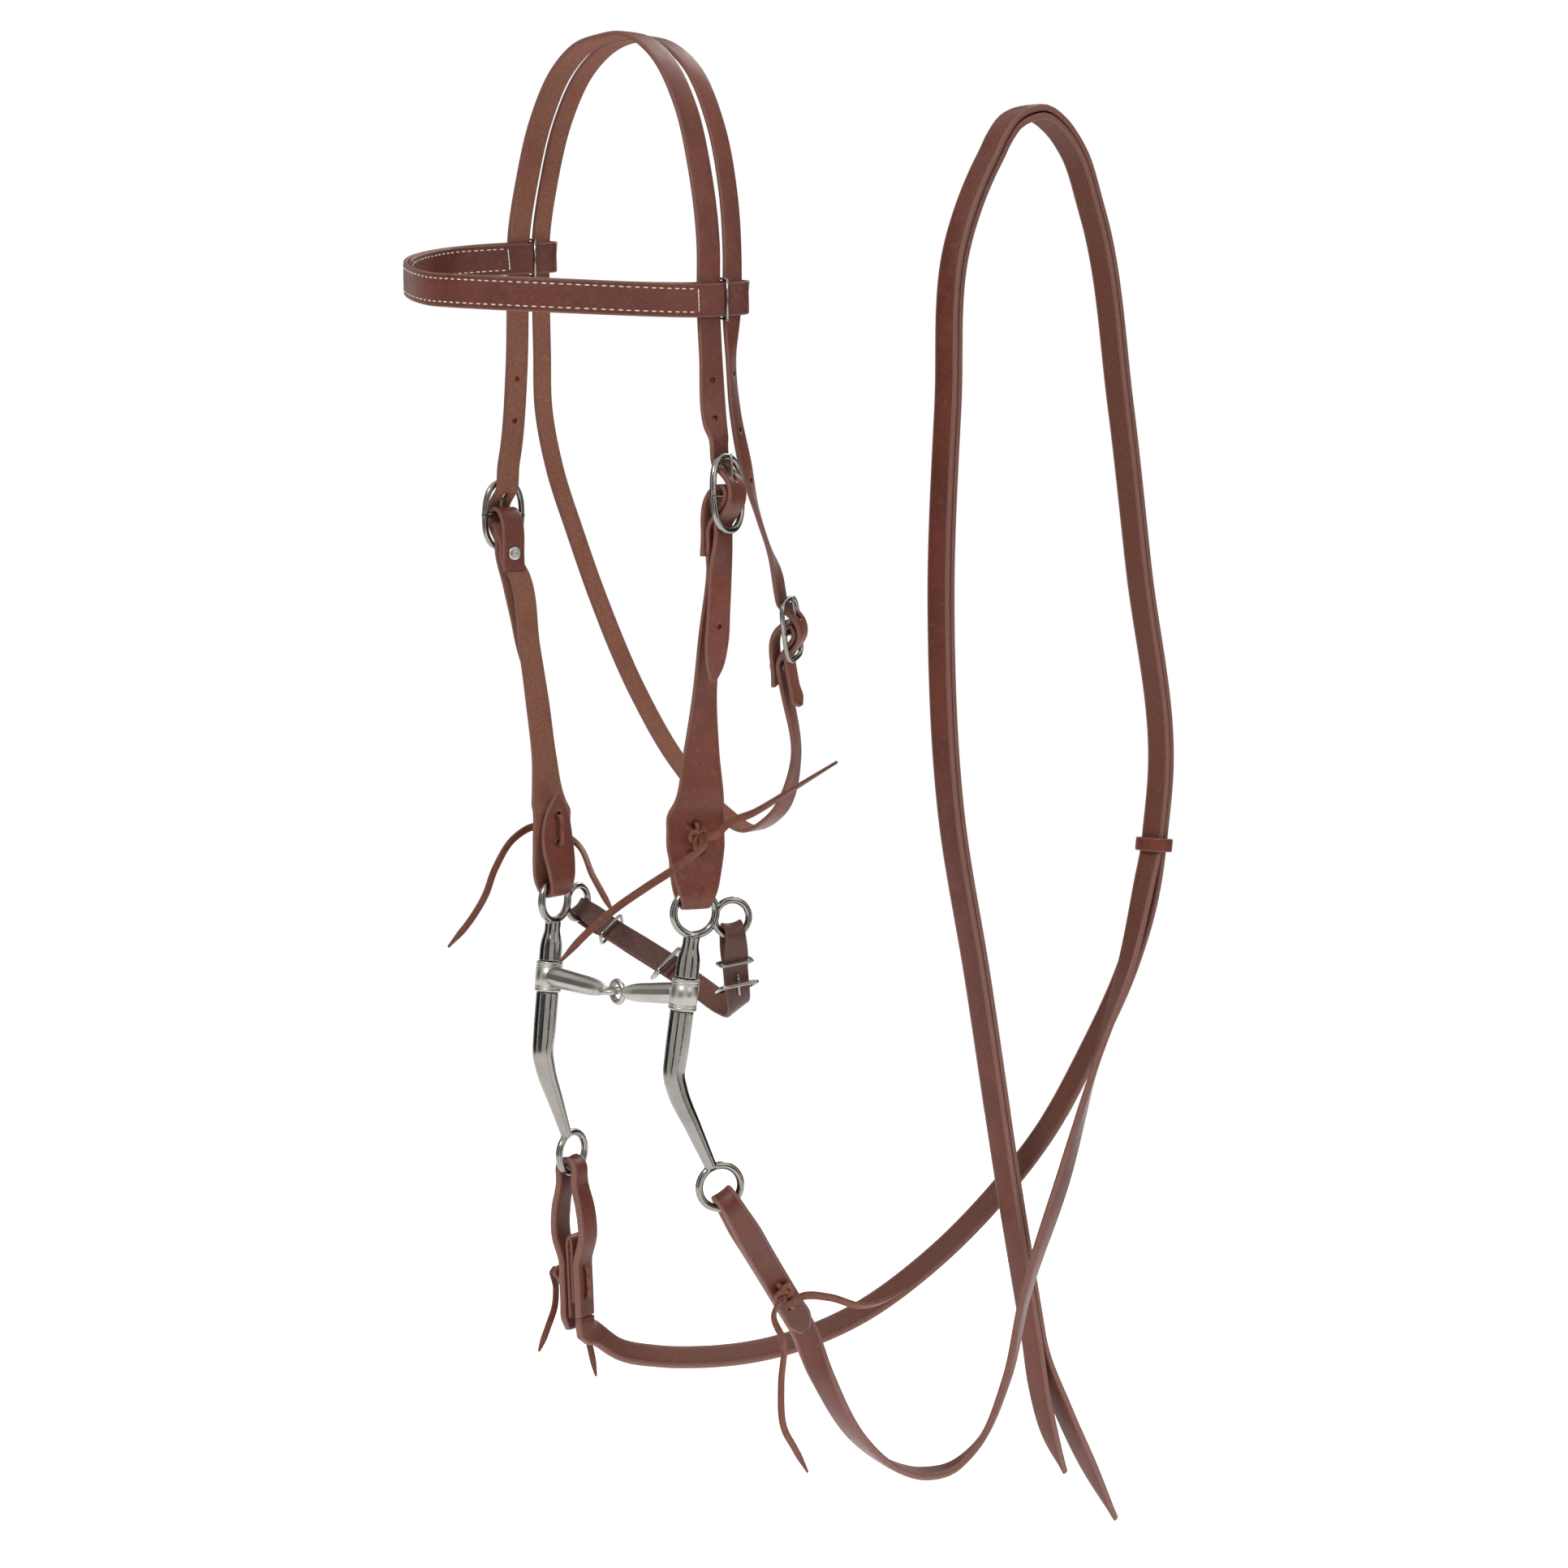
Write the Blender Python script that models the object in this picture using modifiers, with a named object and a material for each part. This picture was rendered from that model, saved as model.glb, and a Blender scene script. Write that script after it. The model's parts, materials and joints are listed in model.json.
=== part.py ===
"""A western headstall bridle: crown, browband, cheekpieces and throatlatch in leather, a jointed bit with swivel
shanks, a curb strap and two split reins.

Metres, +Z up. +X is the horse's left side, -Y its front. The origin is on the underside of the crown, at the poll.
"""

import math

import bmesh
import bpy
import numpy as np
from mathutils import Matrix, Vector

MM = 0.001

# Driving sizes
LEATHER = 2.8 * MM  # headstall straps
REIN_LEATHER = 4.8 * MM
BROWBAND_LEATHER = 2.4 * MM
CROWN_WIDTH = 16 * MM
THROAT_WIDTH = 13 * MM
REIN_WIDTH = 17 * MM
CURB_WIDTH = 15 * MM
CURB_LEATHER = 2.4 * MM
BROWBAND_HEIGHT = 19 * MM
RING_RADIUS, RING_WIRE = 13.2 * MM, 2.1 * MM
SHANK_RADIUS, NECK_RADIUS = 7.2 * MM, 4.8 * MM
SLEEVE_RADIUS, SLEEVE_BORE, SLEEVE_HEIGHT = 8.4 * MM, 5.4 * MM, 19.2 * MM
SLEEVE_DROP, BEND_DROP = 49 * MM, 102 * MM  # below the top ring, along the shank
BOTTOM_RING_BACK, BOTTOM_RING_DROP = 38.6 * MM, 164 * MM
CURB_EYE_BACK, CURB_EYE_RADIUS, CURB_EYE_WIRE = 23.6 * MM, 10.8 * MM, 1.8 * MM

# Places, in millimetres, of what the straps run between
RING_X = 76  # half the distance between the top rings
BIT_CENTRE = (0, 0, -522)
BIT_ROLL = math.radians(3.8)  # the right side hangs a little lower
SHANK_TOE, SHANK_PITCH = math.radians(18), math.radians(8)
CROWN_Y, THROAT_Y = -7, 10  # where the two straps lie side by side on the poll
BROWBAND_Z, BROWBAND_SLOPE, BROWBAND_DIP, BROWBAND_BOW = -140, -0.185, 0.1, 0.0006

CHESTNUT = (0.19, 0.060, 0.036)
DARK_CHESTNUT = (0.13, 0.045, 0.03)
NICKEL = (0.62, 0.60, 0.58)
SATIN_STEEL = (0.70, 0.69, 0.66)

SIDES = {"left": 1, "right": -1}


# ---- scene and materials


def clear_scene():
    for obj in list(bpy.data.objects):
        bpy.data.objects.remove(obj)


def collection(name):
    made = bpy.data.collections.new(name)
    bpy.context.scene.collection.children.link(made)
    return made


clear_scene()
PART = collection("snaffle_bridle")
TOOLS = collection("cutters")


def material(name, colour, metallic, roughness):
    made = bpy.data.materials.new(name)
    made.use_nodes = True
    shader = made.node_tree.nodes["Principled BSDF"]
    shader.inputs["Base Color"].default_value = (*colour, 1)
    shader.inputs["Metallic"].default_value = metallic
    shader.inputs["Roughness"].default_value = roughness
    return made


def leather(obj, colour=CHESTNUT):
    obj.data.materials.clear()
    obj.data.materials.append(material(obj.name, colour, 0, 0.5))
    return obj


def metal(obj, colour=NICKEL, roughness=0.22):
    obj.data.materials.clear()
    obj.data.materials.append(material(obj.name, colour, 1, roughness))
    return obj


def add(name, data, into=PART, place=None):
    obj = bpy.data.objects.new(name, data)
    into.objects.link(obj)
    if place is not None:
        obj.matrix_world = place
    return obj


def helper(obj):
    obj.hide_render = True
    obj.display_type = "WIRE"
    return obj


# ---- shape builders


def smooth(controls, spacing):
    """Rows of a smooth curve through the control rows, whose first three numbers are a place."""
    rows = np.array(controls, float)
    step = np.linalg.norm(np.diff(rows[:, :3], axis=0), axis=1)[:, None]
    slope = np.diff(rows, axis=0) / step
    tangent = np.empty_like(rows)
    tangent[0], tangent[-1] = slope[0], slope[-1]
    tangent[1:-1] = (slope[:-1] * step[1:] + slope[1:] * step[:-1]) / (step[:-1] + step[1:])
    out = []
    for i, length in enumerate(step[:, 0]):
        count = max(1, round(length / spacing))
        for t in np.arange(count) / count:
            a = 2 * t**3 - 3 * t**2 + 1
            b = t**3 - 2 * t**2 + t
            c = t**3 - t**2
            out.append(a * rows[i] + (1 - a) * rows[i + 1] + length * (b * tangent[i] + c * tangent[i + 1]))
    out.append(rows[-1])
    return np.array(out)


def row(place, across, width):
    """One control row of a strap: a place and a width in millimetres, and the direction across the strap."""
    return (*(Vector(place) * MM), *Vector(across).normalized(), width * MM)


def strap(name, controls, thickness, spacing=9 * MM, slots=(), slot_half=2.2 * MM):
    """A flat strap along its control rows. Each slot is (place, half length along the strap)."""
    rows = smooth(controls, spacing)
    mesh = bmesh.new()
    grid = []
    for i, r in enumerate(rows):
        place, across, half = Vector(r[:3]), Vector(r[3:6]), r[6] / 2
        ahead = Vector(rows[min(i + 1, len(rows) - 1)][:3]) - Vector(rows[max(i - 1, 0)][:3])
        ahead.normalize()
        across = (across - across.dot(ahead) * ahead).normalized()
        inner = min(slot_half, half * 0.6)
        offsets = (-half, -inner, inner, half) if slots else (-half, half)
        grid.append([mesh.verts.new(place + across * offset) for offset in offsets])
    for a, b, r, q in zip(grid, grid[1:], rows, rows[1:]):
        middle = (Vector(r[:3]) + Vector(q[:3])) / 2
        cut = any((middle - Vector(place)).length < half_length for place, half_length in slots)
        for column in range(len(a) - 1):
            if not (cut and column == 1):
                mesh.faces.new((a[column], a[column + 1], b[column + 1], b[column]))
    data = bpy.data.meshes.new(name)
    mesh.to_mesh(data)
    mesh.free()
    obj = add(name, data)
    solid = obj.modifiers.new("leather", "SOLIDIFY")
    solid.thickness = thickness
    solid.offset = 0
    solid.use_even_offset = True
    return obj


def wire(name, points, radius, closed=False, sides=2, radii=None, into=PART, place=None):
    """A round wire, cord or bar through points in metres."""
    curve = bpy.data.curves.new(name, "CURVE")
    curve.dimensions = "3D"
    curve.bevel_depth = radius
    curve.bevel_resolution = sides
    curve.use_fill_caps = not closed
    spline = curve.splines.new("POLY")
    spline.points.add(len(points) - 1)
    for i, (point, place_of) in enumerate(zip(spline.points, points)):
        point.co = (*place_of, 1)
        point.radius = radii[i] / radius if radii else 1
    spline.use_cyclic_u = closed
    return add(name, curve, into, place)


def as_mesh(obj):
    """The same object as a welded mesh, which a Boolean can cut or join."""
    bpy.context.view_layer.update()
    shape = obj.evaluated_get(bpy.context.evaluated_depsgraph_get())
    data = bpy.data.meshes.new_from_object(shape)
    mesh = bmesh.new()
    mesh.from_mesh(data)
    bmesh.ops.remove_doubles(mesh, verts=mesh.verts, dist=1e-6)
    bmesh.ops.recalc_face_normals(mesh, faces=mesh.faces)
    mesh.to_mesh(data)
    mesh.free()
    name, into, world = obj.name, obj.users_collection[0], obj.matrix_world.copy()
    bpy.data.objects.remove(obj)
    return add(name, data, into, world)


def torus(name, centre, radius, minor, axis="Y", segments=24, sides=8, place=None):
    """A ring of round wire. axis is the direction it is threaded along."""
    turn = {"X": Matrix.Rotation(math.pi / 2, 4, "Y"), "Y": Matrix.Rotation(math.pi / 2, 4, "X"), "Z": Matrix()}
    points = []
    for i in range(segments):
        angle = math.tau * i / segments
        points.append(Vector(centre) + turn[axis] @ Vector((radius * math.cos(angle), radius * math.sin(angle), 0)))
    return as_mesh(wire(name, points, minor, closed=True, sides=(sides - 4) // 2, into=TOOLS, place=place))


def ball(name, centre, size, place=None):
    mesh = bmesh.new()
    bmesh.ops.create_uvsphere(mesh, u_segments=10, v_segments=7, radius=1)
    bmesh.ops.scale(mesh, vec=Vector(size), verts=mesh.verts)
    bmesh.ops.translate(mesh, vec=Vector(centre), verts=mesh.verts)
    data = bpy.data.meshes.new(name)
    mesh.to_mesh(data)
    mesh.free()
    return add(name, data, TOOLS, place)


def cylinder(name, radius, height, place):
    mesh = bmesh.new()
    bmesh.ops.create_cone(mesh, cap_ends=True, segments=20, radius1=radius, radius2=radius, depth=height)
    data = bpy.data.meshes.new(name)
    mesh.to_mesh(data)
    mesh.free()
    return add(name, data, TOOLS, place)


def combine(obj, others, operation="UNION"):
    """Joins or cuts the mesh object with the others, which become hidden tools."""
    for other in others:
        helper(other)
        step = obj.modifiers.new(other.name, "BOOLEAN")
        step.operation = operation
        step.object = other
    return obj


# ---- frames that the pieces are built in


def frame_at(place, out, up):
    """A frame with Y outward and Z up, its origin at a place in millimetres."""
    z = Vector(up).normalized()
    y = Vector(out)
    y = (y - y.dot(z) * z).normalized()
    x = y.cross(z)
    turn = Matrix((x, y, z)).transposed().to_4x4()
    return Matrix.Translation(Vector(place) * MM) @ turn


def shank_frame(side):
    """The frame of one shank: origin at its top ring, X out of the ring's plane, Y rearward, Z up the shank."""
    toe = Matrix.Rotation(-SHANK_TOE * side, 4, "Z")
    pitch = Matrix.Rotation(-SHANK_PITCH, 4, "X")
    drop = RING_X * math.sin(BIT_ROLL) * side
    place = Vector((RING_X * side, 0, drop)) + Vector(BIT_CENTRE)
    return Matrix.Translation(place * MM) @ toe @ pitch


def ring_frame(side):
    """The upright frame of a top ring, which the leather loop hangs in: X rearward, Y outward."""
    centre = shank_frame(side).to_translation() / MM
    out = (math.cos(SHANK_TOE) * side, -math.sin(SHANK_TOE), 0)
    return frame_at(centre, out, (0, 0, 1))


def wire_frame(side, back, drop, radius, swing, pull):
    """A frame on the wire of a ring in the shank's plane, where a strap folded round the wire pulls away from it.

    back and drop place the ring's centre, swing is the angle of the place on the wire from straight down towards
    the rear. X lies along the wire, Y is outward and Z is against the pull.
    """
    shank = shank_frame(side)
    spot = Vector((0, back + radius * math.sin(swing), -drop - radius * math.cos(swing)))
    along = shank.to_3x3() @ Vector((0, math.cos(swing), math.sin(swing)))
    return frame_at((shank @ spot) / MM, Vector(pull).cross(along) * side, -Vector(pull))


CHEEK_BUCKLE = {
    "left": frame_at((120, -8, -269), (0.956, 0.29, 0), (-0.06, 0, 1)),
    "right": frame_at((-120, -8, -282), (-1, 0.02, 0), (0.06, 0, 1)),
}
THROAT_BUCKLE = frame_at((84, 67, -350), (0.88, 0.46, 0), (0.12, -0.25, 0.96))


# ---- leather at a centre-bar buckle: (outward, along the strap downward) in millimetres from the bar

BILLET_OVER_BAR = [
    (-4.8, -30), (-4.5, -22), (-3.9, -17), (-0.6, -13), (3.0, -9.5), (6.0, -5), (6.9, 0),
    (6.0, 5), (3.0, 9.5), (-0.4, 13), (-3.7, 17), (-4.0, 22),
]  # fmt: skip
CHAPE_ROUND_BAR = [
    (-14.6, 35), (-13.6, 26.4), (-13.2, 20.6), (-13.2, 16), (-12.8, 11), (-11.4, 5), (-8.8, 0.5), (-5.4, -2.8),
    (-1.9, -3.9), (2.2, -3.1), (3.6, 0.2), (2.2, 5), (-1.4, 8.8), (-4.2, 12.5), (-8.0, 16.5), (-9.7, 20.6),
    (-9.9, 26.4),
]  # fmt: skip
RIVET_DOWN = 23.5
LACE_HOLES = (36, 54)  # above the centre of the bit's ring


def in_buckle(frame, profile, width, side):
    """Strap rows at a buckle. side turns the across direction rearward on both sides of the head."""
    across = frame.to_3x3() @ Vector((-side, 0, 0))
    return [row(frame @ Vector((0, out * MM, -down * MM)) / MM, across, width) for out, down in profile]


def slot_at(frame, out, down, half_length):
    return (frame @ Vector((0, out * MM, -down * MM)), half_length * MM)


# ---- crown and throatlatch


def crown_strap():
    """One strap over the poll, buckled at both cheeks, each end a loose pointed tail outside the cheekpiece."""
    ahead = (0, 1, 0)
    left_tail = [
        ((104, -7, -378), 3), ((106, -7, -370), 11), ((108.5, -7.5, -357), 16),
        ((111.5, -8, -335), 16), ((113, -8, -314), 16),
    ]  # fmt: skip
    right_tail = [
        ((-113.5, -5, -326), 16), ((-111, -1, -348), 16), ((-107.5, 1, -366), 16),
        ((-105.5, 2, -378), 12), ((-104, 2, -387), 3),
    ]  # fmt: skip
    arch = [
        (109, CROWN_Y - 1, -232), (103, CROWN_Y, -190), (101, CROWN_Y, -163), (100.7, CROWN_Y, -125),
        (93, CROWN_Y, -85), (79, CROWN_Y, -47), (55, CROWN_Y, -16), (28, CROWN_Y, -1), (0, CROWN_Y, 1.4),
        (-26, CROWN_Y, -1), (-50, CROWN_Y, -13), (-73, CROWN_Y, -39), (-90, CROWN_Y, -75), (-100, CROWN_Y, -108),
        (-101.5, CROWN_Y, -140), (-104, CROWN_Y, -190), (-110, CROWN_Y - 1, -240),
    ]  # fmt: skip
    left, right = CHEEK_BUCKLE["left"], CHEEK_BUCKLE["right"]
    width = CROWN_WIDTH / MM
    rows = [row(place, ahead, w) for place, w in left_tail]
    rows += in_buckle(left, BILLET_OVER_BAR, 16, 1)[::-1]
    rows += [row(place, ahead, width) for place in arch]
    rows += in_buckle(right, BILLET_OVER_BAR, 16, -1)
    rows += [row(place, ahead, w) for place, w in right_tail]
    slots = [slot_at(frame, 1.5, -10.5, 6.5) for frame in (left, right)]
    return leather(strap("crown_strap", rows, LEATHER, spacing=18 * MM, slots=slots))


def throatlatch_strap():
    """The throatlatch runs over the poll beside the crown, down the right side, under the throat and up to its
    buckle on the left."""
    y = THROAT_Y
    over = [
        (88, 47, -303), (95, 33, -281), (100.5, 19, -250), (101, 12, -222), (100.3, 9.5, -192), (100.9, y - 0.2, -160),
        (100.7, y + 0.2, -132), (93, y + 3, -95), (81, y + 3, -56), (59, y + 2, -21), (30, y + 1, -3), (4, y, 2),
        (-24, y, 0), (-50, y, -12), (-74, y, -38), (-91, y, -74), (-100.4, y, -107), (-101.2, y, -140),
        (-102, y + 1, -178), (-104, 13, -214), (-103, 21, -254), (-98, 32, -292), (-88, 44, -337), (-62, 57, -397),
        (-32, 67, -440), (-6, 79, -468), (15, 87, -479), (38, 91, -468), (60, 89, -432),
    ]  # fmt: skip
    face = [(-0.75, 0.62, 0.1), (-0.75, 0.62, 0.1), (-0.4, 0.9, 0), (-0.5, 0.86, 0), (-0.55, 0.83, 0), (0, 1, 0)]
    face += [(0, 1, 0)] * 12 + [(0, 1, 0.1)] * 4 + [(0, 1, 0.3)] * 4 + [(0.1, 1, 0.1)] * 2 + [(-0.5, 0.85, 0)]
    width = THROAT_WIDTH / MM
    tail = [(-0.4, 49), (-1.8, 46), (-3.2, 38), (-3.7, 30)]
    rows = in_buckle(THROAT_BUCKLE, tail, width, 1)
    rows[0] = (*rows[0][:6], 3 * MM)
    rows += in_buckle(THROAT_BUCKLE, BILLET_OVER_BAR, width, 1)[::-1]
    rows += [row(place, across, width) for place, across in zip(over, face)]
    chape = CHAPE_ROUND_BAR + [(-9.0, 38)]
    rows += in_buckle(THROAT_BUCKLE, chape, width, 1)[::-1]
    slots = [slot_at(THROAT_BUCKLE, 1.5, -10.5, 6.5), slot_at(THROAT_BUCKLE, 0, 0, 5.2)]
    slots += [slot_at(THROAT_BUCKLE, out, RIVET_DOWN, 1.5) for out in (-9.8, -13.4)]
    return leather(strap("throatlatch_strap", rows, LEATHER, spacing=13 * MM, slots=slots))


def cheekpiece(side_name):
    """From the rivet flap round the buckle's bar, down the cheek, through the bit's top ring and up inside."""
    side = SIDES[side_name]
    buckle, ring = CHEEK_BUCKLE[side_name], ring_frame(side)
    top = buckle.to_translation().z / MM
    bottom = ring.to_translation().z / MM
    ahead = (0, 1, 0)
    toed = (math.sin(SHANK_TOE) * side, math.cos(SHANK_TOE), 0)
    rows = in_buckle(buckle, CHAPE_ROUND_BAR, 16, side)
    for x, y, share, across, width in (
        (107, -5, 0.155, ahead, 16), (97, -4, 0.34, ahead, 16), (91, -3, 0.46, ahead, 17),
        (85, -1.5, 0.62, toed, 23), (81, -0.5, 0.74, toed, 32),
    ):  # fmt: skip
        rows.append(row((x * side, y, top + share * (bottom - top)), across, width))
    loop = [
        (1.8, 57, 36), (1.8, 51, 36), (2.3, 39, 36), (3.2, 33, 34), (5.4, 22, 29), (6.2, 14, 25), (5.6, 8.5, 21),
        (3.6, 4.9, 18.5), (0, 3.6, 18), (-3.6, 4.9, 18.5), (-5.6, 8.5, 21), (-6.2, 14, 24), (-5.4, 22, 27),
        (-3.2, 33, 30), (-2.3, 39, 30), (-1.8, 51, 26), (-2.0, 57, 21), (-3.0, 69, 3),
    ]  # fmt: skip
    rows += [row(ring @ Vector((0, out * MM, up * MM)) / MM, toed, width) for out, up, width in loop]
    slots = [slot_at(buckle, 0, 0, 5.2)]
    slots += [slot_at(buckle, out, RIVET_DOWN, 1.5) for out in (-9.8, -13.4)]
    slots += [(ring @ Vector((0, out * MM, up * MM)), 2.5 * MM) for up in LACE_HOLES for out in (2.4, -2.4)]
    return leather(strap(f"{side_name}_cheekpiece", rows, LEATHER, spacing=13 * MM, slots=slots))


# ---- buckles


def oval_outline(half_width, half_height, power, count):
    """A rounded outline in the XZ plane, between an ellipse (power 2) and a rectangle."""
    points = []
    for i in range(count):
        c, s = math.cos(math.tau * i / count), math.sin(math.tau * i / count)
        x = half_width * math.copysign(abs(c) ** (2 / power), c)
        z = half_height * math.copysign(abs(s) ** (2 / power), s)
        points.append((x, 0, z))
    return points


def buckle_frame(name, place, half_width, half_height, power, wire_radius, bar_radius):
    outline = oval_outline(half_width, half_height, power, 24)
    loop = as_mesh(wire(name, outline, wire_radius, closed=True, sides=1, place=place))
    bar = [(-half_width, 0, 0), (half_width, 0, 0)]
    crossbar = as_mesh(wire(f"{name}_bar", bar, bar_radius, sides=1, into=TOOLS, place=place))
    return metal(combine(loop, [crossbar]))


def buckle_tongue(name, place, reach, radius, rest):
    """A wire hooked round the bar, lying through the billet and on the top of the frame. Its origin is on the bar."""
    hook = 1.8 * MM + 0.35 * MM + radius
    turns = [math.radians(a) for a in range(300, -1, -30)]
    points = [(0, hook * math.cos(a), -hook * math.sin(a)) for a in turns]
    points += [(0, hook + (rest - hook) * t, reach * t) for t in (0.35, 0.7, 1.0)]
    return metal(wire(name, points, radius, sides=1, place=place))


def rivet(name, place, length):
    """A tubular rivet through two layers: a domed head at its lower end and a flat burr at its upper end."""
    head, shaft, burr = 4.5 * MM, 1.4 * MM, 3.2 * MM
    profile = [
        (0, length), (burr, length), (burr, length - 0.7 * MM), (shaft, length - 0.7 * MM), (shaft, 0),
        (head, 0), (head * 0.8, -0.9 * MM), (0, -1.3 * MM),
    ]  # fmt: skip
    data = bpy.data.meshes.new(name)
    mesh = bmesh.new()
    verts = [mesh.verts.new((x, 0, z)) for x, z in profile]
    for a, b in zip(verts, verts[1:]):
        mesh.edges.new((a, b))
    mesh.to_mesh(data)
    mesh.free()
    obj = add(name, data, place=place)
    turn = obj.modifiers.new("turned", "SCREW")
    turn.steps = turn.render_steps = 16
    turn.use_merge_vertices = True
    turn.merge_threshold = 0.00001
    return metal(obj, SATIN_STEEL, 0.35)


def rivet_frame(frame, out, down):
    """A frame whose Z points out of the strap, at a depth and a distance below the bar."""
    return frame @ Matrix.Translation((0, out * MM, -down * MM)) @ Matrix.Rotation(-math.pi / 2, 4, "X")


def cheek_buckle(side_name):
    place = CHEEK_BUCKLE[side_name]
    buckle_frame(f"{side_name}_cheek_buckle", place, 13.5 * MM, 21 * MM, 2.5, 2.0 * MM, 1.8 * MM)
    buckle_tongue(f"{side_name}_cheek_buckle_tongue", place, 22.5 * MM, 1.15 * MM, 3.6 * MM)
    rivet(f"{side_name}_cheek_rivet", rivet_frame(place, -15.2, RIVET_DOWN), 7.9 * MM)


def throat_buckle():
    place = THROAT_BUCKLE
    buckle_frame("throatlatch_buckle", place, 11 * MM, 18.5 * MM, 4, 1.6 * MM, 1.6 * MM)
    buckle_tongue("throatlatch_buckle_tongue", place, 21 * MM, 1.1 * MM, 3.2 * MM)
    rivet("throatlatch_rivet", rivet_frame(place, -15.2, RIVET_DOWN), 7.9 * MM)


# ---- browband


def browband_plan(angle, inset):
    """A point of the browband's arch. inset is how far it lies inside the outer face's own line."""
    x = (104.8 - inset) * math.cos(angle)
    y = -14 - (118 - inset) * math.sin(angle)
    return x, y


def browband_level(x, y):
    """The band's height: it dips to the left and to the front, and bows up a little on the left."""
    return BROWBAND_Z + BROWBAND_SLOPE * x + BROWBAND_DIP * (y + 10) - BROWBAND_BOW * max(x, 0) * min(y + 14, 0)


def browband_row(x, y):
    return row((x, y, browband_level(x, y)), (0, 0, 1), BROWBAND_HEIGHT / MM)


def browband():
    """A double band across the forehead. Each end is folded back on itself round the two cheek straps."""
    layer = 2.8
    end = [
        (97.0, -36), (97.0, -22), (96.8, -8), (96.7, 4), (96.9, 14), (98.2, 18.6), (100.8, 20.4),
        (103.4, 18.6), (104.9, 14), (105.0, 4), (104.9, -8),
    ]  # fmt: skip
    points = [browband_plan(math.radians(a), layer) for a in range(62, 18, -8)]
    points += end
    points += [browband_plan(math.radians(a), 0) for a in range(8, 180, 8)]
    points += [(-x, y) for x, y in end[::-1]]
    points += [browband_plan(math.radians(a), layer) for a in range(158, 117, -8)]
    rows = [browband_row(x, y) for x, y in points]
    return leather(strap("browband", rows, BROWBAND_LEATHER, spacing=30 * MM))


def browband_staple(side_name):
    """A flat wire staple that closes the band between the two straps: a rectangle round the folded end."""
    side = SIDES[side_name]
    y, x_out, x_in = 1.9, 107.3, 94.8
    rise = BROWBAND_HEIGHT / MM / 2 + 1.8
    corners = [(x_out, rise), (x_in, rise), (x_in, -rise), (x_out, -rise)]
    points = [Vector((x * side, y, browband_level(x * side, y) + up)) * MM for x, up in corners]
    return metal(as_mesh(wire(f"{side_name}_browband_staple", points, 0.7 * MM, closed=True, sides=1)))


# ---- bit


def shank(side_name):
    side = SIDES[side_name]
    place = shank_frame(side)
    name = f"{side_name}_shank"
    half = SLEEVE_HEIGHT / 2 + 0.4 * MM
    stations = [(0, -14 * MM, 5.2 * MM), (0, -19 * MM, 5.0 * MM), (0, -27 * MM, SHANK_RADIUS - 0.4 * MM)]
    for z, radius in (
        (-SLEEVE_DROP + half + 0.06 * MM, SHANK_RADIUS), (-SLEEVE_DROP + half, NECK_RADIUS),
        (-SLEEVE_DROP - half, NECK_RADIUS), (-SLEEVE_DROP - half - 0.06 * MM, SHANK_RADIUS),
        (-BEND_DROP + 14 * MM, SHANK_RADIUS - 0.2 * MM), (-BEND_DROP + 6 * MM, SHANK_RADIUS - 0.5 * MM),
    ):  # fmt: skip
        stations.append((0, z, radius))
    sweep = math.atan2(BOTTOM_RING_BACK, BOTTOM_RING_DROP - BEND_DROP)
    length = math.hypot(BOTTOM_RING_BACK, BOTTOM_RING_DROP - BEND_DROP) - RING_RADIUS
    for along, radius in ((-1, 6.6), (3, 6.5), (9, 6.3), (30, 5.2), (48, 4.3), (length / MM, 3.7)):
        bow = 1.6 if along < 0 else 0.9 if along < 5 else 0
        back, down = along * math.sin(sweep) + bow, along * math.cos(sweep)
        stations.append((back * MM, -BEND_DROP - down * MM, radius * MM))
    bar = as_mesh(
        wire(name, [(0, y, z) for y, z, _ in stations], SHANK_RADIUS, radii=[r for _, _, r in stations], place=place)
    )
    top = torus(f"{name}_top_ring", (0, 0, 0), RING_RADIUS, RING_WIRE, "X", place=place)
    curb = torus(f"{name}_curb_eye", (0, CURB_EYE_BACK, -1 * MM), CURB_EYE_RADIUS, CURB_EYE_WIRE, "X", 20, place=place)
    low_centre = (0, BOTTOM_RING_BACK, -BOTTOM_RING_DROP)
    low = torus(f"{name}_bottom_ring", low_centre, RING_RADIUS, RING_WIRE, "X", place=place)
    return metal(combine(bar, [top, curb, low]))


def mouth_frame():
    """The frame of the mouth: origin half way between the sleeves, X towards the left one."""
    left, right = (shank_frame(side) @ Vector((0, 0, -SLEEVE_DROP)) for side in (1, -1))
    along = (left - right).normalized()
    up = Vector((0, 0, 1)) - along * along.z
    return frame_at((left + right) / 2 / MM, up.cross(along), up), (left - right).length / 2


EYE_RADIUS, EYE_WIRE = 6.4 * MM, 1.9 * MM
EYE_OFFSET = 3.5 * MM  # from the middle of the mouth to the centre of each eye
MOUTH_DROOP = 4 * MM


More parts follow.
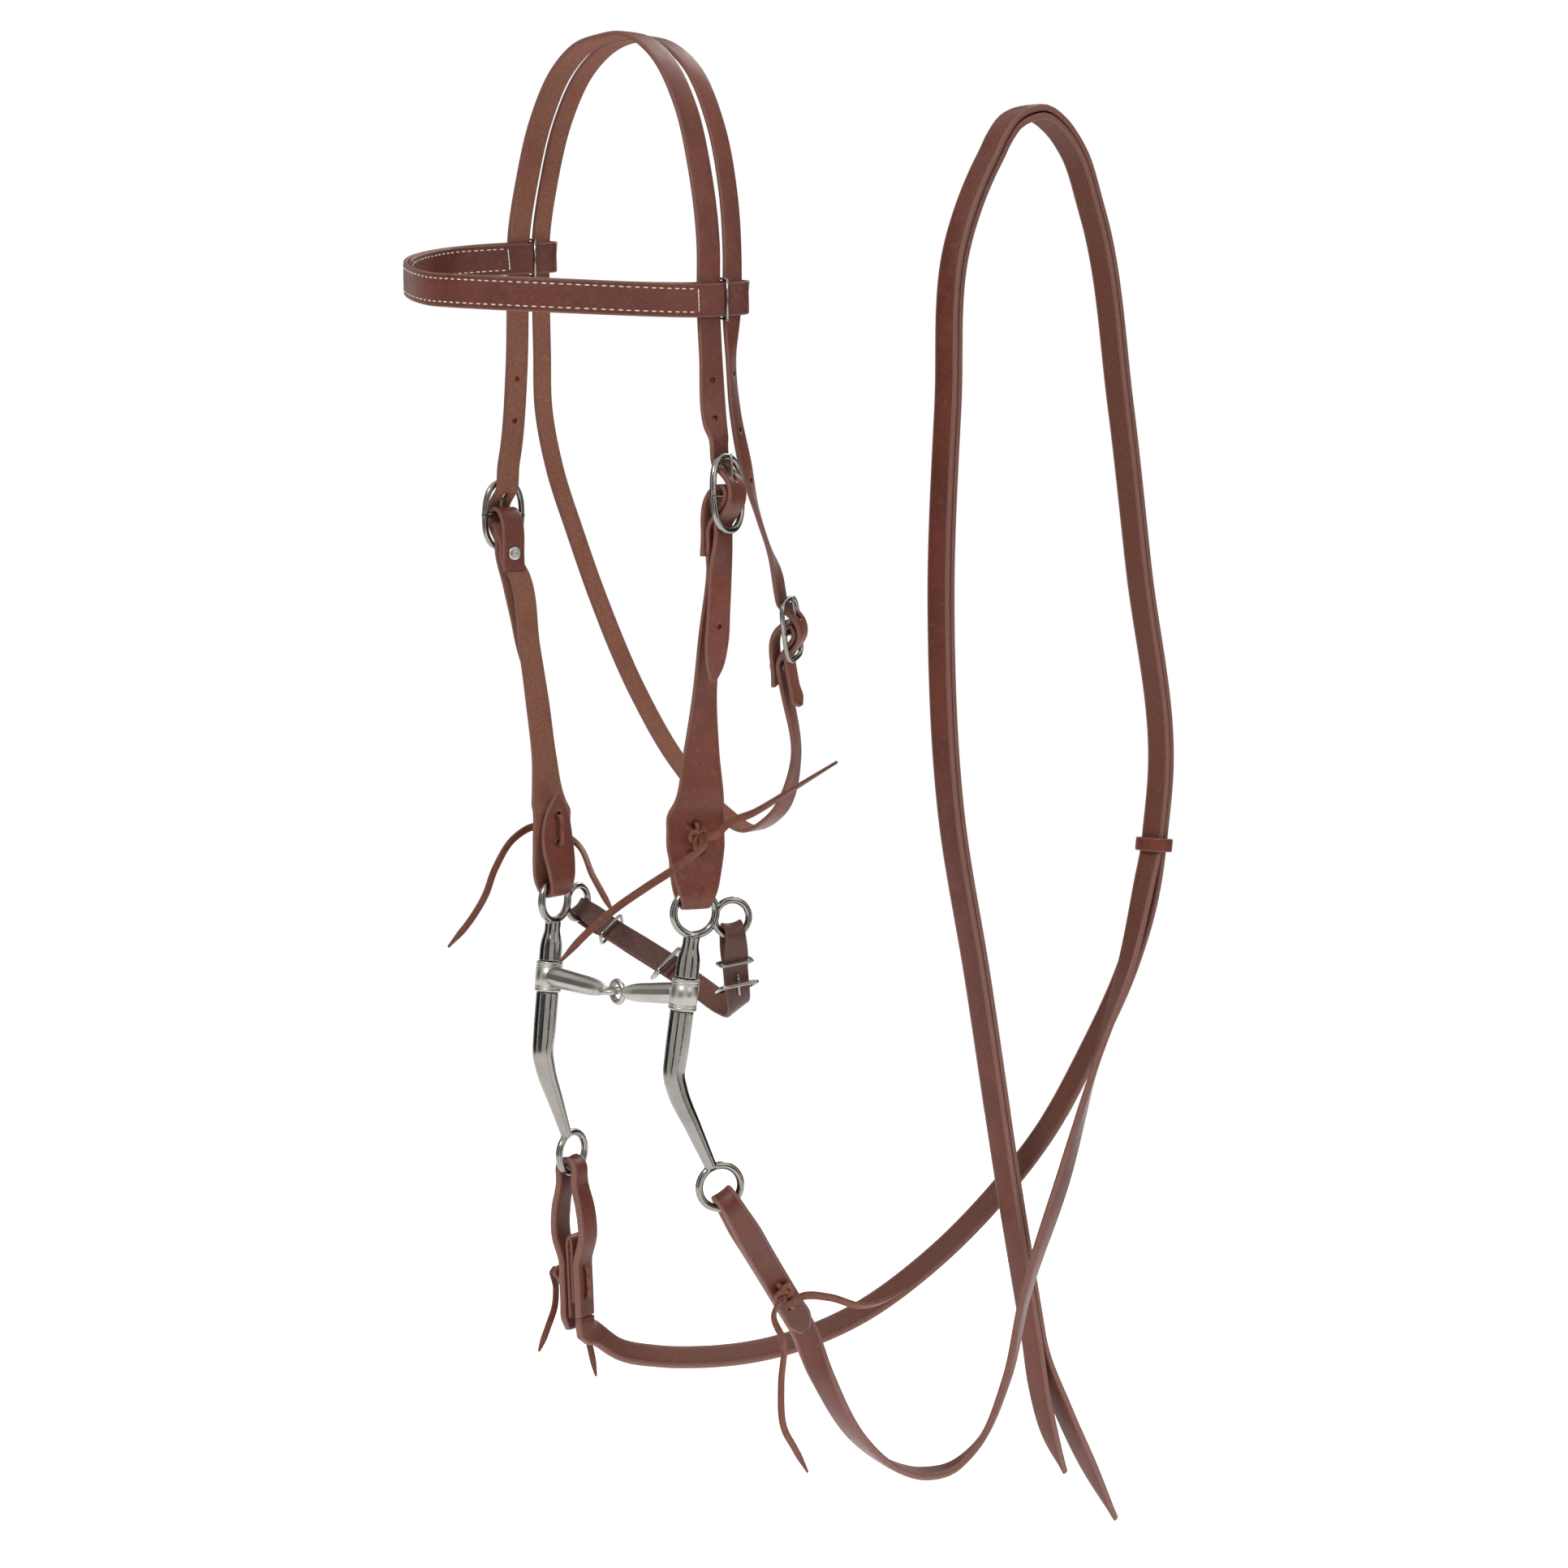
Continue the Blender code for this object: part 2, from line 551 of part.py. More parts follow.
def mouthpiece(side_name):
    """One half of the mouth: the sleeve that turns on the shank, the bar, and the eye that links with the other."""
    side = SIDES[side_name]
    name = f"{side_name}_mouthpiece"
    frame, half_span = mouth_frame()
    place = frame @ Matrix.Translation((half_span * side, 0, 0))
    turn = place.to_3x3().inverted() @ shank_frame(side).to_3x3()
    eye = Vector((EYE_OFFSET * side - half_span * side, 0, -MOUTH_DROOP))
    toward = Vector((-side, 0, 0))
    start, end = toward * 6 * MM, eye - toward * (EYE_RADIUS + 1 * MM)
    points = [start.lerp(end, t) for t in (0, 0.12, 0.45, 0.8, 0.93, 1)]
    radii = [r * MM for r in (6.6, 6.6, 6.2, 5.4, 4.2, 3.0)]
    bar = as_mesh(wire(name, points, 6.6 * MM, radii=radii, place=place))
    sleeve_turn = place @ turn.to_4x4()
    tube = cylinder(f"{name}_sleeve", SLEEVE_RADIUS, SLEEVE_HEIGHT, sleeve_turn)
    ring = torus(f"{name}_eye", eye, EYE_RADIUS, EYE_WIRE, "Y" if side > 0 else "Z", 18, place=place)
    combine(bar, [tube, ring])
    bore = cylinder(f"{name}_bore", SLEEVE_BORE, SLEEVE_HEIGHT * 2, sleeve_turn)
    return metal(combine(bar, [bore], "DIFFERENCE"), SATIN_STEEL, 0.3)


# ---- laces, tied through two holes


def tie(name, place, half_depth, low, high, knot_up, knot_size=3.4):
    """A lace threaded through two holes and knotted outside: a closed loop in the frame's YZ plane and its knot."""
    corner = 1.6
    outline = [
        (half_depth, low + corner), (half_depth, high - corner), (half_depth - corner, high),
        (-half_depth + corner, high), (-half_depth, high - corner), (-half_depth, low + corner),
        (-half_depth + corner, low), (half_depth - corner, low),
    ]  # fmt: skip
    points = [(0, out * MM, up * MM) for out, up in outline]
    loop = as_mesh(wire(name, points, 1.5 * MM, closed=True, sides=1, place=place))
    size = (knot_size * MM, 2.8 * MM, 4.4 * MM)
    knot = ball(f"{name}_knot", (0, (half_depth + 1.8) * MM, knot_up * MM), size, place)
    return leather(combine(loop, [knot]), DARK_CHESTNUT)


def cheek_lace(side_name):
    side = SIDES[side_name]
    return tie(f"{side_name}_cheek_lace_tie", ring_frame(side), 6.2, *LACE_HOLES, knot_up=45)


# Free lace ends, from the knot outwards, in millimetres
LACE_RADIUS = 1.9 * MM
LACES = {  # fmt: skip
    "left_cheek_lace_front": [
        (92, -4, -473), (93, -24, -485), (94, -47, -495), (100, -74, -505), (105, -98, -517), (108, -117, -530),
    ],
    "left_cheek_lace_rear": [
        (92, 4, -469), (90, 13, -464), (84, 38, -459), (76, 69, -450), (68, 97, -442), (62, 120, -435),
    ],
    "right_cheek_lace_front": [
        (-92, -5, -481), (-94, -18, -487), (-98, -31, -507), (-102, -36, -524), (-106, -46, -541), (-110, -59, -556),
    ],
    "right_cheek_lace_rear": [(-92, 4, -481), (-91, 16, -487), (-84, 21, -492), (-60, 19, -512), (-36, 17, -531)],
    "left_rein_lace_rear": [
        (85.6, 61.5, -765), (85, 75, -763), (84, 97, -768), (82, 124, -779), (76, 147, -782), (72, 170, -779),
    ],
    "left_rein_lace_low": [
        (83, 54, -771), (85, 60, -789), (84, 59, -815), (82, 62, -843), (77, 76, -864), (75, 87, -881),
    ],
    "right_rein_lace_front": [(-95, 8, -775), (-96, 11, -787), (-94, 9, -799), (-90, 1, -811), (-86, -9, -825)],
    "right_rein_lace_rear": [(-95, 17, -773), (-96, 22, -784), (-92, 26, -804), (-86, 30, -826), (-82, 33, -849)],
}


def lace_end(name, route):
    points = [Vector(p) * MM for p in smooth(route, 9)]
    radii = [LACE_RADIUS] * (len(points) - 2) + [LACE_RADIUS * 0.8, LACE_RADIUS * 0.45]
    return leather(wire(name, points, LACE_RADIUS, sides=1, radii=radii), DARK_CHESTNUT)


# ---- curb strap

# The strap hangs from the curb eyes: each end is doubled back through its eye.
CURB_EYES = {
    "left": wire_frame(1, CURB_EYE_BACK, 1 * MM, CURB_EYE_RADIUS, 0.2, (-0.12, 0.18, -0.97)),
    "right": wire_frame(-1, CURB_EYE_BACK, 1 * MM, CURB_EYE_RADIUS, 0.9, (0.89, 0.26, -0.37)),
}


def hung_rows(frame, profile, like, width):
    """Strap rows in a frame on a ring's wire, whose Z is against the pull: profile is (outward, along the pull).

    The strap's width lies along the wire, turned the same way as the direction like. It is pinched where it bends
    over the wire.
    """
    across = frame.to_3x3() @ Vector((1, 0, 0))
    across *= math.copysign(1, across.dot(Vector(like)))
    rows = []
    for out, down in profile:
        pinched = width * (0.6 if down < 0 else 0.8 if down < 9 else 1)
        rows.append(row(frame @ Vector((0, out * MM, -down * MM)) / MM, across, pinched))
    return rows


CURB_FOLD = [(3.8, 10), (5.2, 4), (4.5, -3.8), (0, -6.6), (-4.5, -3.8), (-5.2, 4), (-3.8, 10)]
CURB_PLY = 1.5  # from the middle of the doubled strap to each layer's middle


def curb_strap():
    left, right = CURB_EYES["left"], CURB_EYES["right"]
    width = CURB_WIDTH / MM
    face, far_face = (0.35, 0.93, 0.2), (-0.2, 0.7, 0.7)
    rows = hung_rows(left, [(-CURB_PLY, 37), (-CURB_PLY, 20)] + CURB_FOLD[::-1], face, width)
    rows += hung_rows(left, [(CURB_PLY, 20), (CURB_PLY, 38)], face, width)
    for place, across in (
        ((77, 32, -575), (0.2, 0.9, 0.3)), ((69, 36, -580), (0.0, 0.9, 0.5)),
        ((50, 41, -581), (-0.1, 0.8, 0.6)), ((22, 45, -576), (-0.15, 0.75, 0.65)),
    ):  # fmt: skip
        rows.append(row(place, across, width))
    rows += hung_rows(right, [(CURB_PLY, 78), (CURB_PLY, 50), (CURB_PLY, 20)] + CURB_FOLD, far_face, width)
    rows += hung_rows(right, [(-CURB_PLY, 20), (-CURB_PLY, 50), (-CURB_PLY, 80)], far_face, width)
    return leather(strap("curb_strap", rows, CURB_LEATHER, spacing=14 * MM))


def curb_band(name, frame, down, half_width, half_depth, radius, tilt=0.0):
    """A wire rectangle round both layers of the curb strap."""
    outline = oval_outline(half_width, half_depth, 6, 12)
    turn = Matrix.Rotation(math.pi / 2 + tilt, 4, "X")
    place = frame @ Matrix.Translation((0, 0, -down * MM)) @ turn
    return metal(as_mesh(wire(name, outline, radius, closed=True, sides=1, place=place)))


def curb_tongue(name, frame, down, out):
    """A small tongue lying along the outer layer, its point over the frame."""
    place = frame @ Matrix.Translation((0, out * MM, -down * MM))
    points = [(0, 0, 0), (0, 0, 7 * MM), (0, 0, 14 * MM)]
    return metal(wire(name, points, 0.9 * MM, sides=1, place=place))


def curb_hardware():
    for side_name, keeper_down, buckle_down in (("left", 17, 33), ("right", 24, 72)):
        frame = CURB_EYES[side_name]
        curb_band(f"{side_name}_curb_keeper", frame, keeper_down, 10 * MM, 5.8 * MM, 1.0 * MM, 0.15)
        curb_band(f"{side_name}_curb_buckle", frame, buckle_down, 11.5 * MM, 8.4 * MM, 1.3 * MM, 0.5)
        curb_tongue(f"{side_name}_curb_buckle_tongue", frame, buckle_down + 4, 4.1)


# ---- reins

# How far below the ring's wire: the two holes of the lace that closes the loop, and the start of the long rein
REIN_TIE = {"left": (70, 92), "right": (62, 82)}
REIN_START = {"left": 104, "right": 94}
REIN_PLY = {"left": 2.7, "right": 6.0}  # from the middle of the loop to each layer's middle, at the tie
REIN_FOLD = {
    "left": wire_frame(1, BOTTOM_RING_BACK, BOTTOM_RING_DROP, RING_RADIUS, 0.6, (-0.11, 0.585, -0.804)),
    "right": wire_frame(-1, BOTTOM_RING_BACK, BOTTOM_RING_DROP, RING_RADIUS, 0.1, (0.06, 0.0, -1)),
}
REIN_FACE = {"left": (-0.3, -0.8, -0.6), "right": (-0.3, 0.95, 0)}
REIN_SEAM = 0.8  # the gap between the loop's end and the long rein
REIN_GAP = 5.6  # between the middles of the two reins where they lie together

# Each route starts at the tie. Places in millimetres, then the direction across the rein.
LEFT_REIN_LOW = [
    ((63, 108, -826), (-0.80, -0.28, -0.52)), ((55, 147, -880), (-0.87, 0.30, -0.40)),
    ((50, 180, -906), (-0.82, 0.5, -0.2)), ((46, 211, -919), (-0.79, 0.6, -0.1)),
    ((43, 238, -921), (-0.72, 0.68, -0.1)), ((41, 264, -910), (-0.65, 0.74, -0.12)),
    ((38, 291, -873), (-0.58, 0.79, -0.14)), ((35, 310, -820), (-0.5, 0.84, -0.2)),
    ((30, 351, -742), (-0.3, 0.93, -0.3)), ((26, 385, -666), (-0.7, 0.6, -0.2)),
    ((22, 420, -595), (-0.93, 0.1, 0)), ((20, 438, -540), (-0.95, -0.2, 0)),
]
SHARED_LOOP = [
    (20, 444, -518), (20, 450, -464), (18, 427, -320), (16, 409, -207), (14, 381, -76), (13, 360, -34),
    (12, 334, -17), (10, 312, -24), (8, 297, -46), (6, 270, -104), (5, 263, -210), (5, 258, -344),
    (5, 268, -481), (6, 292, -595), (6, 322, -742), (6, 349, -863),
]
LEFT_TIP = [((8, 374, -920), 17), ((9, 400, -968), 15), ((10, 427, -1013), 3)]
RIGHT_TIP = [((6, 352, -900), 17), ((6, 364, -938), 14), ((6, 379, -968), 3)]
RIGHT_REIN_LOW = [
    ((-73, 26, -816), (-0.45, 0.85, 0.3)), ((-70, 42, -829), (-0.6, 0.6, 0.5)),
    ((-66, 71, -839), (-0.66, 0.52, 0.54)), ((-60, 100, -844), (-0.66, 0.52, 0.54)),
    ((-50, 155, -846), (-0.70, 0.40, 0.56)), ((-40, 218, -834), (-0.75, 0.25, 0.58)),
    ((-30, 283, -802), (-0.79, 0.10, 0.58)), ((-20, 335, -761), (-0.81, 0.0, 0.57)),
    ((-10, 373, -718), (-0.86, -0.05, 0.45)), ((0, 402, -667), (-0.93, -0.1, 0.25)),
    ((12, 430, -603), (-0.96, -0.2, 0.1)), ((17, 443, -558), (-0.97, -0.24, 0)),
]
LOOP_FACE = (-0.97, -0.26, 0)


def shared_rows(outward):
    """The part where both reins run together, moved outwards from the loop's middle line."""
    face = Vector(LOOP_FACE).normalized()
    middle = smooth([row(place, face, REIN_WIDTH / MM) for place in SHARED_LOOP], 13 * MM)
    places = [Vector(r[:3]) for r in middle]
    rows = []
    for i, place in enumerate(places):
        ahead = places[min(i + 1, len(places) - 1)] - places[max(i - 1, 0)]
        away = face.cross(ahead).normalized() * outward
        rows.append(row(place / MM + away, face, REIN_WIDTH / MM))
    return rows


def rein(side_name):
    """The long strap, from just behind its tie to its pointed end."""
    low, tip, outward = {
        "left": (LEFT_REIN_LOW, LEFT_TIP, 0), "right": (RIGHT_REIN_LOW, RIGHT_TIP, REIN_GAP),
    }[side_name]  # fmt: skip
    start, inner = REIN_START[side_name], -REIN_PLY[side_name]
    width = REIN_WIDTH / MM
    rows = hung_rows(REIN_FOLD[side_name], [(inner, start + REIN_SEAM), (inner, start + 9)], REIN_FACE[side_name], width)
    rows += [row(place, across, width) for place, across in low]
    rows += shared_rows(outward)
    rows += [row(place, LOOP_FACE, w) for place, w in tip]
    return leather(strap(f"{side_name}_rein", rows, REIN_LEATHER, spacing=30 * MM))


def rein_end(side_name):
    """The end of a rein, folded round the bottom ring and back on itself. It carries on as the long rein."""
    ply = REIN_PLY[side_name]
    opened = {"left": 0, "right": 2.4}[side_name]
    low, high = REIN_TIE[side_name]
    leg = [(ply, high + 3), (ply, high - 3), (ply, low + 3), (ply, low - 3), (ply + 0.6 + opened, 42)]
    leg += [(5.4 + opened, 22), (6.2, 8)]
    fold = [(5.3, -4.6), (0, -7.7), (-5.3, -4.6)]
    profile = [(ply, high + 22), (ply, high + 14)] + leg + fold
    profile += [(-out, down) for out, down in leg[::-1]] + [(-ply, REIN_START[side_name])]
    frame = REIN_FOLD[side_name]
    rows = hung_rows(frame, profile, REIN_FACE[side_name], REIN_WIDTH / MM)
    rows[0] = (*rows[0][:6], 9 * MM)
    slots = [slot_at(frame, out, down, 2.5) for down in (low, high) for out in (ply, -ply)]
    return leather(strap(f"{side_name}_rein_end", rows, REIN_LEATHER, spacing=13 * MM, slots=slots))


def rein_tie(side_name):
    half_depth = REIN_PLY[side_name] + REIN_LEATHER / 2 / MM + 1.9
    low, high = REIN_TIE[side_name]
    return tie(f"{side_name}_rein_lace_tie", REIN_FOLD[side_name], half_depth, -high, -low, knot_up=-low - 6)


def rein_tab():
    """A short strap folded over the lace between the two legs of the right rein's loop."""
    frame = REIN_FOLD["right"]
    low, high = REIN_TIE["right"]
    leg = [(1.7, high + 3), (1.7, high - 3), (1.7, low + 3), (1.7, low - 3), (1.8, 50), (1.3, 43.5)]
    profile = [(1.7, high + 13)] + leg + [(0, 41.5)] + [(-out, down) for out, down in leg[::-1]]
    rows = hung_rows(frame, profile, REIN_FACE["right"], 13)
    slots = [slot_at(frame, out, down, 2.5) for down in (low, high) for out in (1.7, -1.7)]
    return leather(strap("right_rein_tab", rows, 2.2 * MM, spacing=40 * MM, slots=slots))


def rein_keeper():
    """A stitched leather loop that slides along both reins."""
    place, above = Vector(SHARED_LOOP[0]), Vector(SHARED_LOOP[1])
    along = (above - place).normalized()
    face = Vector(LOOP_FACE).normalized()
    away = face.cross(along).normalized()
    centre = place + away * REIN_GAP / 2 + along * 1.5
    half_width, half_depth = REIN_WIDTH / MM / 2 + 1.5, REIN_GAP / 2 + REIN_LEATHER / MM / 2 + 1.5
    corners = [
        (2, half_depth), (half_width, half_depth), (half_width, -half_depth), (-half_width, -half_depth),
        (-half_width, half_depth), (0, half_depth), (1.4, half_depth),
    ]  # fmt: skip
    rows = [row(centre + face * a + away * b, along, 9.5) for a, b in corners]
    return leather(strap("rein_keeper", rows, 1.8 * MM, spacing=40 * MM))


# ---- build


def build():
    crown_strap()
    throatlatch_strap()
    throat_buckle()
    browband()
    for side_name in SIDES:
        browband_staple(side_name)
        cheekpiece(side_name)
        cheek_buckle(side_name)
        shank(side_name)
        mouthpiece(side_name)
        cheek_lace(side_name)
        rein_end(side_name)
        rein_tie(side_name)
        rein(side_name)
    for name, route in LACES.items():
        lace_end(name, route)
    curb_strap()
    curb_hardware()
    rein_tab()
    rein_keeper()


build()
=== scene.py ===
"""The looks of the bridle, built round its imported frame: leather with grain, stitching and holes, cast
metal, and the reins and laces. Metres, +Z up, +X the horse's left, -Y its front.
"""

import json
import math

import bmesh
import bpy
import numpy as np
from mathutils import Matrix, Vector

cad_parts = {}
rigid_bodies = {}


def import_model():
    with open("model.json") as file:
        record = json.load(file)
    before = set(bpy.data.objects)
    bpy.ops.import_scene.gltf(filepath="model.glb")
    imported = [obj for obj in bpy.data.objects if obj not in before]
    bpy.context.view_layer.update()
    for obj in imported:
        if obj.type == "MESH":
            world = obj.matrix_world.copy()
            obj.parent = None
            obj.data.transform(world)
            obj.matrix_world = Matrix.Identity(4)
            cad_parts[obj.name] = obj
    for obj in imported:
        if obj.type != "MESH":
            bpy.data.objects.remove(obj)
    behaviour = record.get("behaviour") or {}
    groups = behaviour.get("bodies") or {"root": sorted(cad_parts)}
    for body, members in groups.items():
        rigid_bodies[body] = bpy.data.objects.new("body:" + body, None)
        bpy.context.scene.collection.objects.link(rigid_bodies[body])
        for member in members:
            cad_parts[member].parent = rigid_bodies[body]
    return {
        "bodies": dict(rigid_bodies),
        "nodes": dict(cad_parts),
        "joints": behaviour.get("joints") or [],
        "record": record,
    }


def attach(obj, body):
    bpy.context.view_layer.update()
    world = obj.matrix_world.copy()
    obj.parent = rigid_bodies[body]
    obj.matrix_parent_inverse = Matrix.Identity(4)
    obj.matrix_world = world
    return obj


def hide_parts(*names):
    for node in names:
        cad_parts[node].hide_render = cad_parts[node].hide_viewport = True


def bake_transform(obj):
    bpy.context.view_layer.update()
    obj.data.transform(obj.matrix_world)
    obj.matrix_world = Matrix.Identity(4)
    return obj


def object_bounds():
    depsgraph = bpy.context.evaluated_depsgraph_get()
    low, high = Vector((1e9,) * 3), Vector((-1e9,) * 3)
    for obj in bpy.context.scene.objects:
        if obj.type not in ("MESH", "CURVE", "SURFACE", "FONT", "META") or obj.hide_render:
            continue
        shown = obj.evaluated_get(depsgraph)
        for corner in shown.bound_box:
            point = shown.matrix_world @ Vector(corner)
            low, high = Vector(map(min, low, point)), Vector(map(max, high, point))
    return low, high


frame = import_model()
CAD_BOX = [[float(value) for value in corner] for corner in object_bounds()]

MM = 0.001
SIDES = {"left": 1, "right": -1}

# Driving sizes
LEATHER = 2.8 * MM  # headstall straps
REIN_LEATHER = 4.8 * MM
BROWBAND_LEATHER = 2.4 * MM
CROWN_WIDTH = 16 * MM
THROAT_WIDTH = 13 * MM
REIN_WIDTH = 17 * MM
CURB_WIDTH = 15 * MM
CURB_LEATHER = 2.4 * MM
BROWBAND_HEIGHT = 19 * MM
RING_RADIUS, RING_WIRE = 13.2 * MM, 2.1 * MM
RING_FILL = 0.35 * MM  # what the smoothing of a casting takes off a ring's wire
CUT_MARGIN = 0.24 * MM  # how far a hole's cutter stands past the leather, clear of the next cutter
SHANK_RADIUS, NECK_RADIUS = 7.2 * MM, 4.8 * MM
SLEEVE_RADIUS, SLEEVE_BORE, SLEEVE_HEIGHT = 8.4 * MM, 5.4 * MM, 19.2 * MM
SLEEVE_DROP, BEND_DROP = 49 * MM, 102 * MM  # below the top ring, along the shank
BOTTOM_RING_BACK, BOTTOM_RING_DROP = 38.6 * MM, 164 * MM
CURB_EYE_BACK, CURB_EYE_DROP = 23.6 * MM, 1 * MM
CURB_EYE_RADIUS, CURB_EYE_WIRE = 10.8 * MM, 1.8 * MM

# Places, in millimetres, of what the straps run between
RING_X = 76  # half the distance between the top rings
BIT_CENTRE = (0, 0, -522)
BIT_ROLL = math.radians(3.8)  # the right side hangs a little lower
SHANK_TOE, SHANK_PITCH = math.radians(18), math.radians(8)
CROWN_Y, THROAT_Y = -7, 10  # where the two straps lie side by side on the poll
BROWBAND_Z, BROWBAND_SLOPE, BROWBAND_DIP, BROWBAND_BOW = -140, -0.185, 0.1, 0.0006


# ---- camera, floor and light


def aim(obj, place, ahead):
    obj.location = place
    obj.rotation_mode = "QUATERNION"
    obj.rotation_quaternion = Vector(ahead).to_track_quat("-Z", "Y")


def camera():
    """The view of the photograph: from the front left, a little above the bit, level with the cheeks."""
    data = bpy.data.cameras.new("camera")
    data.sensor_width = 36
    data.lens = 61.5
    data.clip_start, data.clip_end = 0.01, 100
    made = bpy.data.objects.new("camera", data)
    bpy.context.scene.collection.objects.link(made)
    turn, down = math.radians(52), math.radians(6)
    ahead = (-math.sin(turn) * math.cos(down), math.cos(turn) * math.cos(down), -math.sin(down))
    aim(made, (1.352, -0.9295, -0.274), ahead)
    bpy.context.scene.camera = made


def area_light(name, place, target, size, power):
    data = bpy.data.lights.new(name, "AREA")
    data.shape = "RECTANGLE"
    data.size, data.size_y = size
    data.energy = power
    made = bpy.data.objects.new(name, data)
    bpy.context.scene.collection.objects.link(made)
    aim(made, place, Vector(target) - Vector(place))


def node(tree, kind, inputs=(), **settings):
    """A shader node. inputs are constants or sockets, by input name or number."""
    made = tree.nodes.new("ShaderNode" + kind)
    for key, value in settings.items():
        setattr(made, key, value)
    for key, value in dict(inputs).items():
        if isinstance(value, bpy.types.NodeSocket):
            tree.links.new(value, made.inputs[key])
        else:
            made.inputs[key].default_value = value
    return made


def calc(tree, operation, *values):
    return node(tree, "Math", dict(enumerate(values)), operation=operation).outputs[0]


def times(tree, a, b):
    return calc(tree, "MULTIPLY", a, b)


def plus(tree, a, b):
    return calc(tree, "ADD", a, b)


def ramp(tree, value, low, high, start=0.0, end=1.0):
    """A smooth step of value from start, at low, to end, at high."""
    inputs = {0: value, 1: low, 2: high, 3: start, 4: end}
    return node(tree, "MapRange", inputs, interpolation_type="SMOOTHSTEP").outputs[0]


def blend_colour(tree, share, first, second, how="MIX"):
    made = node(tree, "Mix", data_type="RGBA", blend_type=how)
    for socket, value in zip((made.inputs[0], made.inputs[6], made.inputs[7]), (share, first, second)):
        if isinstance(value, bpy.types.NodeSocket):
            tree.links.new(value, socket)
        else:
            socket.default_value = value
    return made.outputs[2]


def noise(tree, place, scale, detail=3.0, roughness=0.55, stretch=None):
    """Noise from 0 to 1 over place, in metres. scale is in features per metre."""
    if stretch:
        place = node(tree, "Mapping", {"Vector": place, "Scale": stretch}).outputs[0]
    inputs = {"Vector": place, "Scale": scale, "Detail": detail, "Roughness": roughness}
    return node(tree, "TexNoise", inputs).outputs[0]


def srgb(red, green, blue):
    """A linear colour from 8-bit sRGB numbers."""
    parts = [value / 255 for value in (red, green, blue)]
    linear = [value / 12.92 if value < 0.04045 else ((value + 0.055) / 1.055) ** 2.4 for value in parts]
    return (*linear, 1)


def shade(colour, factor, lift=0.0):
    """A darker or paler version of a colour."""
    return (*(min(1, value * factor + lift) for value in colour[:3]), 1)


def studio():
    """A soft sky, white to the camera and with a few dark bands for the metal to show, and soft lights."""
    bpy.context.scene.view_settings.view_transform = "Standard"
    world = bpy.data.worlds.new("studio")
    bpy.context.scene.world = world
    world.use_nodes = True
    tree = world.node_tree
    way = node(tree, "TexCoord").outputs["Generated"]
    parts = node(tree, "SeparateXYZ", {0: way})
    height = parts.outputs[2]
    angle = calc(tree, "ARCTAN2", parts.outputs[1], parts.outputs[0])
    bands = calc(tree, "SINE", calc(tree, "MULTIPLY_ADD", angle, 5.0, 1.0))
    dark = times(tree, ramp(tree, bands, -0.35, 0.05), ramp(tree, height, 0.8, 0.5))
    rays = node(tree, "LightPath").outputs
    sky = blend_colour(tree, ramp(tree, height, -0.1, 0.9), (0.20, 0.195, 0.19, 1), (0.66, 0.65, 0.64, 1))
    shown = blend_colour(tree, dark, (1.0, 0.99, 0.97, 1), (0.02, 0.02, 0.02, 1))
    colour = blend_colour(tree, rays["Is Glossy Ray"], sky, shown)
    colour = blend_colour(tree, rays["Is Camera Ray"], colour, (1, 1, 1, 1))
    tree.links.new(colour, tree.nodes["Background"].inputs["Color"])
    tree.nodes["Background"].inputs["Strength"].default_value = 1.0
    area_light("key", (0.9, -1.9, 1.5), (0, 0, -0.4), (0.7, 0.7), 34)
    area_light("fill", (2.2, 0.4, 0.6), (0, 0.1, -0.5), (1.0, 1.0), 9)
    area_light("back", (-1.2, 2.2, 1.4), (0, 0.1, -0.5), (0.9, 0.9), 24)


def backdrop():
    """A large pale round floor, a little below the lowest strap, that glows enough to look white."""
    mesh = bmesh.new()
    bmesh.ops.create_circle(mesh, cap_ends=True, segments=96, radius=1.7)
    floor = add_mesh("floor", mesh)
    floor.location.z = CAD_BOX[0][2] - 20 * MM
    made, tree, shader = principled("floor")
    grain = noise(tree, node(tree, "TexCoord").outputs["Object"], 3.0)
    pale = blend_colour(tree, grain, (0.90, 0.90, 0.90, 1), (0.93, 0.93, 0.93, 1))
    tree.links.new(pale, shader.inputs["Base Color"])
    shader.inputs["Roughness"].default_value = 0.9
    shader.inputs["Specular IOR Level"].default_value = 0.1
    shader.inputs["Emission Color"].default_value = (1, 1, 1, 1)
    shader.inputs["Emission Strength"].default_value = 0.6
    floor.data.materials.append(made)


# ---- materials


def roughen(tree, shader, height, strength, distance):
    """Bump from a height socket. distance is in metres."""
    bump = node(tree, "Bump", {"Height": height, "Strength": strength, "Distance": distance}).outputs[0]
    tree.links.new(bump, shader.inputs["Normal"])


def principled(name):
    made = bpy.data.materials.new(name)
    made.use_nodes = True
    return made, made.node_tree, made.node_tree.nodes["Principled BSDF"]


